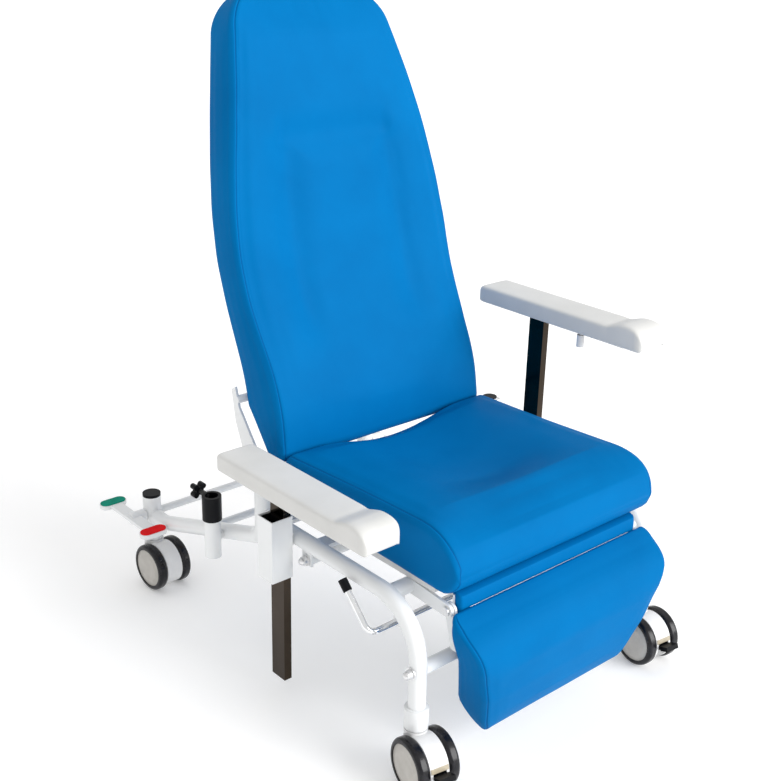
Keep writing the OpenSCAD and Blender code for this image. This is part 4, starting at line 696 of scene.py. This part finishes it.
# At each share of the legrest's height, how far its front stands out as a share of its thickness
LEG_FRONT_SHARES = np.array([[0, 0.25], [0.03, 0.39], [0.07, 0.48], [0.144, 0.57], [0.21, 0.64],
                             [0.376, 0.82], [0.544, 0.92], [0.644, 0.99], [0.72, 1], [0.784, 0.96],
                             [0.832, 0.86], [0.872, 0.71], [0.9, 0.57], [0.93, 0.43], [0.964, 0.28],
                             [0.984, 0.17], [1, 0.07]])


def legrest_fronts(s):
    """How far the legrest's front stands out at each share of its height: the table read straight,
    averaged over a short stretch except at its two ends."""
    shares, fronts = LEG_FRONT_SHARES.T
    steps = np.linspace(-LEG_SOFT_SHARE, LEG_SOFT_SHARE, LEG_SOFT_STEPS)
    near = np.array([np.interp(np.clip(s + d, 0, 1), shares, fronts) for d in steps]).mean(axis=0)
    inner = ease(np.minimum(s, 1 - s) / LEG_SOFT_END_SHARE)
    return np.interp(s, shares, fronts) * (1 - inner) + near * inner


def legrest_grid(rings=170):
    """Rings level with the floor from the legrest's foot to its top: soft boxes between the front,
    which follows a table, and the rear, which is upright above and slants in two straight
    stretches, with a softened heel between them."""
    s = end_shares(rings)
    fronts = legrest_fronts(s)[:, None]
    s = s[:, None]
    span = LEG_TOP_Z - LEG_FOOT_Z
    z = LEG_FOOT_Z + s * span
    from_top = (1 - s) * span + END_GAP
    from_foot = s * span + END_GAP
    end_share = np.minimum(round_share(from_top, LEG_TOP_ROUND, 2),
                           round_share(from_foot, LEG_FOOT_ROUND, 2))
    widening = (LEG_HALF_W - LEG_FOOT_HALF_W) * s ** LEG_TAPER_POWER
    half_w = ((LEG_FOOT_HALF_W + widening - SIDE_DRAW * np.sin(np.pi * s))
              * tapered(LEG_TOP_W_SHARE, round_share(from_top, LEG_SIDE_TOP, 2))
              * tapered(LEG_FOOT_W_SHARE, round_share(from_foot, LEG_SIDE_FOOT, 2)))
    slant = LEG_BACK_Y + (LEG_HEEL_Y - LEG_BACK_Y) * (LEG_SLANT_Z - z) / (LEG_SLANT_Z - LEG_HEEL_Z)
    under = LEG_HEEL_Y - (LEG_HEEL_Z - z) * LEG_FOOT_SLOPE
    near_heel = np.clip((z - LEG_HEEL_Z) / HEEL_SOFT, -1, 1)
    heel = np.minimum(slant, under) - HEEL_SOFT_SHARE * HEEL_SOFT * (1 - near_heel ** 2) ** 2
    rear = np.where(z > LEG_SLANT_Z, LEG_BACK_Y, heel) - LEG_BACK_GAP
    front = LEG_BACK_Y - LEG_T * fronts
    rear = np.maximum(rear, front + LEG_TIP_T * tapered(LEG_TIP_SHARE, end_share))
    x, through = box_points(half_w, (rear - front) / 2, corner=LEG_CORNER_R)
    y = (front + rear) / 2 - through
    grid = np.stack([x, y, z + 0 * x], axis=-1)
    dips = seam_dips() * ease((end_share - LEG_DIP_SHARE) / LEG_DIP_REACH_SHARE)
    return sunk(grid, dips + uneven(grid, LEG_UNEVEN))


BAND_END_GAP, BAND_END_ROUND = 0.0004, 0.006
STRIP_HALF_W, STRIP_T, STRIP_Y = 0.2255, 0.0135, -0.4263
STRIP_LOW_Z, STRIP_HIGH_Z = 0.2935, 0.3315
STRIP_SQUARE, STRIP_END_T_SHARE, STRIP_END_H_SHARE = 0.7, 0.35, 0.88
STRIP_WRAP, STRIP_WRAP_RISE_SHARE, STRIP_SWING_R = 0.0062, 0.9, 0.0319


def ring_angles(around):
    """Angles round a ring, half a step off the axes so that no point lies on a corner."""
    return (2 * np.pi * (np.arange(around) + 0.5) / around)[None, :]


def strip_grid(rings=80, around=90):
    """Rings across the strip under the seat: soft rectangles, a cosine and a sine raised to a
    power, wrapped over the top of its metal backing and drawn in to the circle that it may swing in
    about the hinge."""
    s = end_shares(rings)[:, None]
    a = ring_angles(around)
    x = STRIP_HALF_W * (2 * s - 1)
    to_end = (1 - np.abs(2 * s - 1)) * STRIP_HALF_W + BAND_END_GAP
    share = round_share(to_end, BAND_END_ROUND, 2)
    over = STRIP_WRAP * ease(np.cos(a) * 2) * ease(-np.sin(a) * 2)
    thick = STRIP_T * tapered(STRIP_END_T_SHARE, share)
    half_h = (STRIP_HIGH_Z - STRIP_LOW_Z) / 2 * tapered(STRIP_END_H_SHARE, share)
    y = STRIP_Y - thick * (0.5 + 0.5 * soft(np.sin(a), STRIP_SQUARE)) + over
    z = ((STRIP_LOW_Z + STRIP_HIGH_Z) / 2 + half_h * soft(np.cos(a), STRIP_SQUARE)
         + over * STRIP_WRAP_RISE_SHARE)
    off_y, off_z = y - LEG_HINGE[1], z - LEG_HINGE[2]
    keep = np.minimum(1, STRIP_SWING_R / np.hypot(off_y, off_z))
    return np.stack([x + 0 * y, LEG_HINGE[1] + off_y * keep, LEG_HINGE[2] + off_z * keep], axis=-1)


WELT_HALF_W, WELT_END_SHARE = 0.2215, 0.75
# Along and up, points of the outline that is carried across
WELT_PROFILE = np.array([[-0.4296, 0.3366], [-0.4322, 0.3386], [-0.4344, 0.3412], [-0.4352, 0.3450],
                         [-0.4330, 0.3490], [-0.4290, 0.3460], [-0.4264, 0.3410], [-0.4260, 0.3372],
                         [-0.4264, 0.3348], [-0.4278, 0.3352]])


def rounded_loop(points, each=8):
    """A closed outline through points, smoothed: each side is a cubic that leaves and meets the
    points along the line between their neighbours."""
    before, after, second = (np.roll(points, step, axis=0) for step in (1, -1, -2))
    t = np.linspace(0, 1, each, endpoint=False)[:, None, None]
    leave, meet = (after - before) / 2, (second - points) / 2
    curve = ((2 * t ** 3 - 3 * t ** 2 + 1) * points + (t ** 3 - 2 * t ** 2 + t) * leave
             + (3 * t ** 2 - 2 * t ** 3) * after + (t ** 3 - t ** 2) * meet)
    return curve.transpose(1, 0, 2).reshape(-1, 2)


def welt_grid(rings=60):
    """Rings across the covered band under the seat's front edge: one outline carried across, drawn
    in at its ends."""
    outline = rounded_loop(WELT_PROFILE)
    middle = outline.mean(axis=0)
    s = end_shares(rings)
    to_end = (1 - np.abs(2 * s - 1)) * WELT_HALF_W + BAND_END_GAP
    share = round_share(to_end, BAND_END_ROUND, 2)[:, None, None]
    yz = middle + (outline[None] - middle) * tapered(WELT_END_SHARE, share)
    x = np.broadcast_to((WELT_HALF_W * (2 * s - 1))[:, None, None], yz[:, :, :1].shape)
    return np.concatenate([x, yz], axis=2)


def cushion(name, grid, body, node):
    """A covered cushion that stands for its CAD node."""
    piece = dress(piece_from_grid(name, grid), "blue_vinyl", body, (node,))


# Stretches of a ring that stuffing can't move: beside the upper seams, the seat's underside with its
# -X side, and the flat middle of the side that faces a board
HELD_ANGLE, FREE_ANGLE = 8, 40
IN_SEAM = np.minimum(np.abs(TURN - SEAM_ANGLE), np.abs(TURN - 180 + SEAM_ANGLE)) < HELD_ANGLE
UNDERSIDE = (TURN > 180 - 1) & (TURN < 360)
ON_BOARD = (TURN > 180 + FREE_ANGLE) & (TURN < 360 - FREE_ANGLE)


def held_points(grid, resting, first, last):
    """The points of a cushion that stuffing can't move: beside its seams, along a resting stretch
    of each ring, and in its first and last rings."""
    held = np.broadcast_to(IN_SEAM | resting, grid.shape[:2]).copy()
    held[:first] = True
    held[-last:] = True
    return held


seat = seat_grid()
seat = stuffed("seat", seat, held_points(seat, UNDERSIDE, first=10, last=24), cap=0.005)
cushion("seat_upholstery", seat, "frame", "seat_cushion")
seat_paths = side_seams(seat, start=12, stop=len(seat) - 1, back_to=len(seat) - 34)
seam_lines("seat_seams", seat_paths, "frame")

back = back_grid()
back = stuffed("back", back, held_points(back, ON_BOARD, first=24, last=14), cap=0.005)
cushion("back_upholstery", back, "back", "back_cushion")
seam_lines("back_seams", side_seams(back, start=10, stop=len(back) - 1, back_to=30), "back")

legrest = legrest_grid()
legrest = stuffed("legrest", legrest, held_points(legrest, ON_BOARD, first=14, last=30), cap=0.004)
cushion("legrest_upholstery", legrest, "legrest", "legrest_cushion")
seam_lines("legrest_seams", side_seams(legrest, start=6, stop=len(legrest) - 4), "legrest")

cushion("infill_upholstery", strip_grid(), "legrest", "infill_strip")
dress(piece_from_grid("front_welt", welt_grid()), "blue_vinyl", "frame")

# Metal lip of the legrest's board
BAR_HALF_W, BAR_T, BAR_SQUARE = 0.205, 0.0010, 0.5
BAR_Y, BAR_LOW_Z, BAR_HIGH_Z = -0.4409, 0.2985, 0.3042


def edge_bar_grid(rings=24, around=24):
    """Rings across a thin upright flat bar: one soft rectangle, a cosine and a sine raised to a
    power, carried across."""
    a = np.linspace(0, 2 * np.pi, around, endpoint=False)[None, :]
    s = end_shares(rings)[:, None]
    y = BAR_Y + BAR_T / 2 * soft(np.cos(a), BAR_SQUARE) + 0 * s
    middle, half_h = (BAR_LOW_Z + BAR_HIGH_Z) / 2, (BAR_HIGH_Z - BAR_LOW_Z) / 2
    z = middle + half_h * soft(np.sin(a), BAR_SQUARE) + 0 * s
    return np.stack([BAR_HALF_W * (2 * s - 1) + 0 * y, y, z], axis=-1)


dress(piece_from_grid("legrest_edge_bar", edge_bar_grid()), "plain_steel", "legrest")

# Arm pads
PAD_X, PAD_W, PAD_LEN, PAD_Y, PAD_T, PAD_LOW_Z = 0.328, 0.080, 0.418, -0.154, 0.033, 0.416
PAD_LIP, PAD_LIP_X, PAD_LIP_EDGE, PAD_LIP_STEEPNESS = 0.0038, 0.031, 0.004, 1.5
PAD_END_GAP, PAD_SQUARE = 0.0006, 0.30
PAD_NOSE, PAD_REAR_ROUND, PAD_TIP_ROUND, PAD_PLAN_ROUND = 0.036, 0.014, 0.009, 0.017
PAD_END_H_SHARE, PAD_NOSE_H_SHARE, PAD_END_LOW_SHARE, PAD_END_W_SHARE = 0.55, 0.35, 0.12, 0.76
HUMP_H, HUMP_LEN, HUMP_START_SHARE, HUMP_RISE_SHARE = 0.010, 0.062, 1.4, 0.75
CREASE_DEPTH, CREASE_W, CREASE_SHARE = 0.0009, 0.011, 1.3
CREASE_LOW_SHARE, CREASE_REACH_SHARE = 0.2, 0.9


def pad_grid(side, rings=170, around=200):
    """Rings along an arm pad from rear to front: soft rectangles, a cosine and a sine raised to a
    power, that shrink over a rounded nose, with an eased hump at the front behind a bell-shaped
    crease."""
    raised = LEFT_RAISE if side > 0 else 0.0
    a = ring_angles(around)
    d = end_shares(rings)[:, None] * PAD_LEN
    y = PAD_Y + PAD_LEN / 2 - d
    to_front, to_rear = PAD_LEN - d + PAD_END_GAP, d + PAD_END_GAP
    nose = round_share(to_front, PAD_NOSE, FRONT_POWER)
    rear_round = round_share(to_rear, PAD_REAR_ROUND, 2)
    shrink = np.minimum(rear_round, round_share(to_front, PAD_TIP_ROUND, 2))
    plan = np.minimum(rear_round, round_share(to_front, PAD_PLAN_ROUND, 2))
    hump = HUMP_H * ease((d - PAD_LEN + HUMP_LEN * HUMP_START_SHARE) / (HUMP_LEN * HUMP_RISE_SHARE))
    rise = (PAD_T + hump) * tapered(PAD_END_H_SHARE, shrink) * tapered(PAD_NOSE_H_SHARE, nose)
    high = PAD_LOW_Z + rise
    low = PAD_LOW_Z + PAD_T * PAD_END_LOW_SHARE * (1 - shrink)
    x = PAD_W / 2 * tapered(PAD_END_W_SHARE, plan) * soft(np.cos(a), PAD_SQUARE)
    up = soft(np.sin(a), PAD_SQUARE)
    z = (high + low) / 2 + (high - low) / 2 * up + raised
    below = np.clip(-up * PAD_LIP_STEEPNESS, 0, 1)
    z = z - PAD_LIP * ease((np.abs(x) - PAD_LIP_X) / PAD_LIP_EDGE) * below
    crease = (CREASE_DEPTH * groove(d - PAD_LEN + HUMP_LEN * CREASE_SHARE, CREASE_W)
              * ease((up + CREASE_LOW_SHARE) / CREASE_REACH_SHARE))
    grid = np.stack([side * PAD_X + x, y + 0 * x, z], axis=-1)
    return sunk(grid, crease)


for side, word in ((-1, "right"), (1, "left")):
    pad = piece_from_grid("arm_pad_skin_" + word, pad_grid(side))
    dress(pad, "pad_foam", "arm_" + word, ("arm_pad_" + word,))

# Weld beads where tubes meet
BEAD_R, RIPPLE_SHARE = 0.0021, 0.16
CROSS_R, CROSS_Y, CROSS_Z, LOWER_TUBE_Z = 0.008, 0.181, 0.2235, 0.2165
HOLDER_R, STUB_R, HOLDER_X, HOLDER_Y, STUB_Z = 0.016, 0.008, -0.330, 0.129, 0.234


def weld_bead(name, path, waves=46):
    """A bead along a closed line: a round bar whose thickness ripples with a sine, as the weld pool
    did."""
    ripple = 1 + RIPPLE_SHARE * np.sin(np.linspace(0, 2 * np.pi * waves, len(path), endpoint=False))
    return swept(name, path, BEAD_R * ripple, around=10, closed=True)


def round_tube(radius, count):
    """Offsets across and up of points round a tube's circle."""
    t = np.linspace(0, 2 * np.pi, count, endpoint=False)
    return radius * np.cos(t), radius * np.sin(t)


def rear_cross_joint(side, count=160):
    """The line where the rear cross tube meets a sloping lower tube: going round the cross tube,
    the lower tube's surface is reached at the half chord of the height off its axis."""
    across, up = round_tube(CROSS_R, count)
    y, z = CROSS_Y + across, CROSS_Z + up
    off = (z - LOWER_TUBE_Z) * math.cos(REAR_SLOPE) + across * math.sin(REAR_SLOPE)
    x = side * (SIDE_X - np.sqrt(np.maximum(REAR_TUBE_R ** 2 - off ** 2, 0)))
    return np.stack([x, y, z], axis=1)


def riser_joint(side, count=160):
    """The line where the top run meets the upright riser: the half chord of the riser at each point
    round the run."""
    across, up = round_tube(TUBE_R, count)
    y = RISER_Y - np.sqrt(REAR_TUBE_R ** 2 - across ** 2)
    return np.stack([side * SIDE_X + across, y, RUN_Z + up], axis=1)


def holder_joint(count=120):
    """The line where the pole holder's stub meets the holder tube: the half chord of the tube at
    each point round the stub."""
    across, up = round_tube(STUB_R, count)
    x = HOLDER_X + np.sqrt(HOLDER_R ** 2 - across ** 2)
    return np.stack([x, HOLDER_Y + across, STUB_Z + up], axis=1)


beads = [weld_bead("holder_bead", holder_joint(), waves=18)]
for side in (-1, 1):
    beads.append(weld_bead("riser_bead", riser_joint(side)))
    beads.append(weld_bead("rear_cross_bead", rear_cross_joint(side), waves=24))
dress(joined("tube_welds", beads), "white_steel", "frame")

# Trim of the casters
HOUSING_R, TRIM_W, TRIM_SUNK, TRIM_PROUD = 0.046, 0.034, 0.0012, 0.0006
TRIM_LOW_ANGLE, TRIM_HIGH_ANGLE = 10, 21


def housing_trim(caster, steps=12, columns=14):
    """The beige strip across a caster's housing, on the side away from its leg: two arcs about the
    axle, one just proud of the housing's round and one sunk in it, carried along the axle."""
    roll = JOINTS["roll_" + caster]
    up = np.array([0, 0, 1])
    along_axle = np.array(roll["axis"])
    away = np.cross(along_axle, up)
    a = np.radians(np.linspace(TRIM_LOW_ANGLE, TRIM_HIGH_ANGLE, steps))
    a = np.concatenate([a, a[::-1]])[None, :, None]
    radius = HOUSING_R + np.repeat([TRIM_PROUD, -TRIM_SUNK], steps)[None, :, None]
    x = np.linspace(-TRIM_W / 2, TRIM_W / 2, columns)[:, None, None]
    grid = roll["pos_m"] + x * along_axle + radius * (np.cos(a) * away + np.sin(a) * up)
    return piece_from_grid("caster_trim_" + caster, grid)


def beige_trim(tree, shader, coord):
    """Beige plastic of the trim strips."""
    cloud = noise(tree, coord, 60, 3)
    tint(tree, shader, cloud, (0.40, 0.35, 0.25), (0.50, 0.44, 0.33))
    gloss(tree, shader, cloud, 0.35, 0.5)
    bump(tree, shader, noise(tree, coord, 900, 2), 0.00005, 0.3)


BEIGE = material("beige_trim", beige_trim)
for caster in ("front_right", "front_left"):
    dress(housing_trim(caster), "wheel_grey", "caster_" + caster, finish=BEIGE)

# Softened edges on the cut steel
MERGE_GAP, SOFT_EDGE_W, SOFT_EDGE_ANGLE = 0.00002, 0.0009, 50
for node in ("sleeves", "arm_plate_right", "arm_plate_left", "back_frame", "legrest_frame"):
    solid = NODES[node]
    weld = solid.modifiers.new("merged", "WELD")
    weld.merge_threshold = MERGE_GAP
    edge = solid.modifiers.new("softened", "BEVEL")
    edge.width = SOFT_EDGE_W
    edge.segments = 2
    edge.limit_method = "ANGLE"
    edge.angle_limit = math.radians(SOFT_EDGE_ANGLE)
    edge.harden_normals = True

# Camera, light and floor
CAM_PLACE = Vector((-1.4295, -1.6029, 1.3418))
CAM_YAW, CAM_PITCH, CAM_ROLL = 0.728580282, 0.375125444, 0.0261568203
CAM_FOCAL_PX, PICTURE_W, SENSOR_W, FAR_CLIP = 1191.727, 780, 36, 200
LIGHT_AWAY, FLOOR_HALF_W = 3, 40.0


def photograph_camera():
    """The camera that took the photograph: its place, its axes from yaw, pitch and roll, and its
    lens."""
    ahead = Vector((math.sin(CAM_YAW) * math.cos(CAM_PITCH), math.cos(CAM_YAW) * math.cos(CAM_PITCH),
                    -math.sin(CAM_PITCH)))
    right = Vector((math.cos(CAM_YAW), -math.sin(CAM_YAW), 0))
    up = right.cross(ahead)
    right_rolled = right * math.cos(CAM_ROLL) + up * math.sin(CAM_ROLL)
    up_rolled = -right * math.sin(CAM_ROLL) + up * math.cos(CAM_ROLL)
    data = bpy.data.cameras.new("photo_camera")
    data.sensor_fit = "HORIZONTAL"
    data.sensor_width = SENSOR_W
    data.lens = CAM_FOCAL_PX * SENSOR_W / PICTURE_W
    data.clip_end = FAR_CLIP
    cam = placed("photo_camera", data)
    turn = Matrix((right_rolled, up_rolled, -ahead)).transposed()
    cam.matrix_world = Matrix.Translation(CAM_PLACE) @ turn.to_4x4()
    bpy.context.scene.camera = cam


def broad_light(name, azimuth, elevation, strength, width):
    """Even soft light from a wide patch of the room, azimuth degrees to the left of straight ahead
    of the chair and elevation degrees up."""
    data = bpy.data.lights.new(name, "SUN")
    data.energy = strength
    data.angle = math.radians(width)
    az, el = math.radians(azimuth), math.radians(elevation)
    towards = Vector((math.sin(az) * math.cos(el), -math.cos(az) * math.cos(el), math.sin(el)))
    lamp = placed(name, data)
    lamp.location = towards * LIGHT_AWAY
    lamp.rotation_euler = (-towards).to_track_quat("-Z", "Y").to_euler()


photograph_camera()
broad_light("front_light", azimuth=24, elevation=24, strength=2.85, width=40)

world = bpy.data.worlds.new("pale_studio")
world.use_nodes = True
sky = world.node_tree.nodes["Background"]
sky.inputs["Color"].default_value = (1.0, 1.0, 1.0, 1)
sky.inputs["Strength"].default_value = 0.83
bpy.context.scene.world = world
bpy.context.scene.view_settings.view_transform = "Standard"


def pale_floor(tree, shader, coord):
    """Plain pale floor."""
    cloud = noise(tree, coord, 3, 3)
    tint(tree, shader, cloud, (0.92, 0.92, 0.92), (0.94, 0.94, 0.94))
    shader.inputs["Roughness"].default_value = 0.7
    shader.inputs["Emission Color"].default_value = (1.0, 1.0, 1.0, 1)
    shader.inputs["Emission Strength"].default_value = 0.16


floor_mesh = bpy.data.meshes.new("pale_floor")
near, far = -FLOOR_HALF_W, FLOOR_HALF_W
corners = [(near, near, 0), (far, near, 0), (far, far, 0), (near, far, 0)]
floor_mesh.from_pydata(corners, [], [(0, 1, 2, 3)])
floor_mesh.materials.append(material("pale_floor", pale_floor))
floor = placed("pale_floor", floor_mesh)
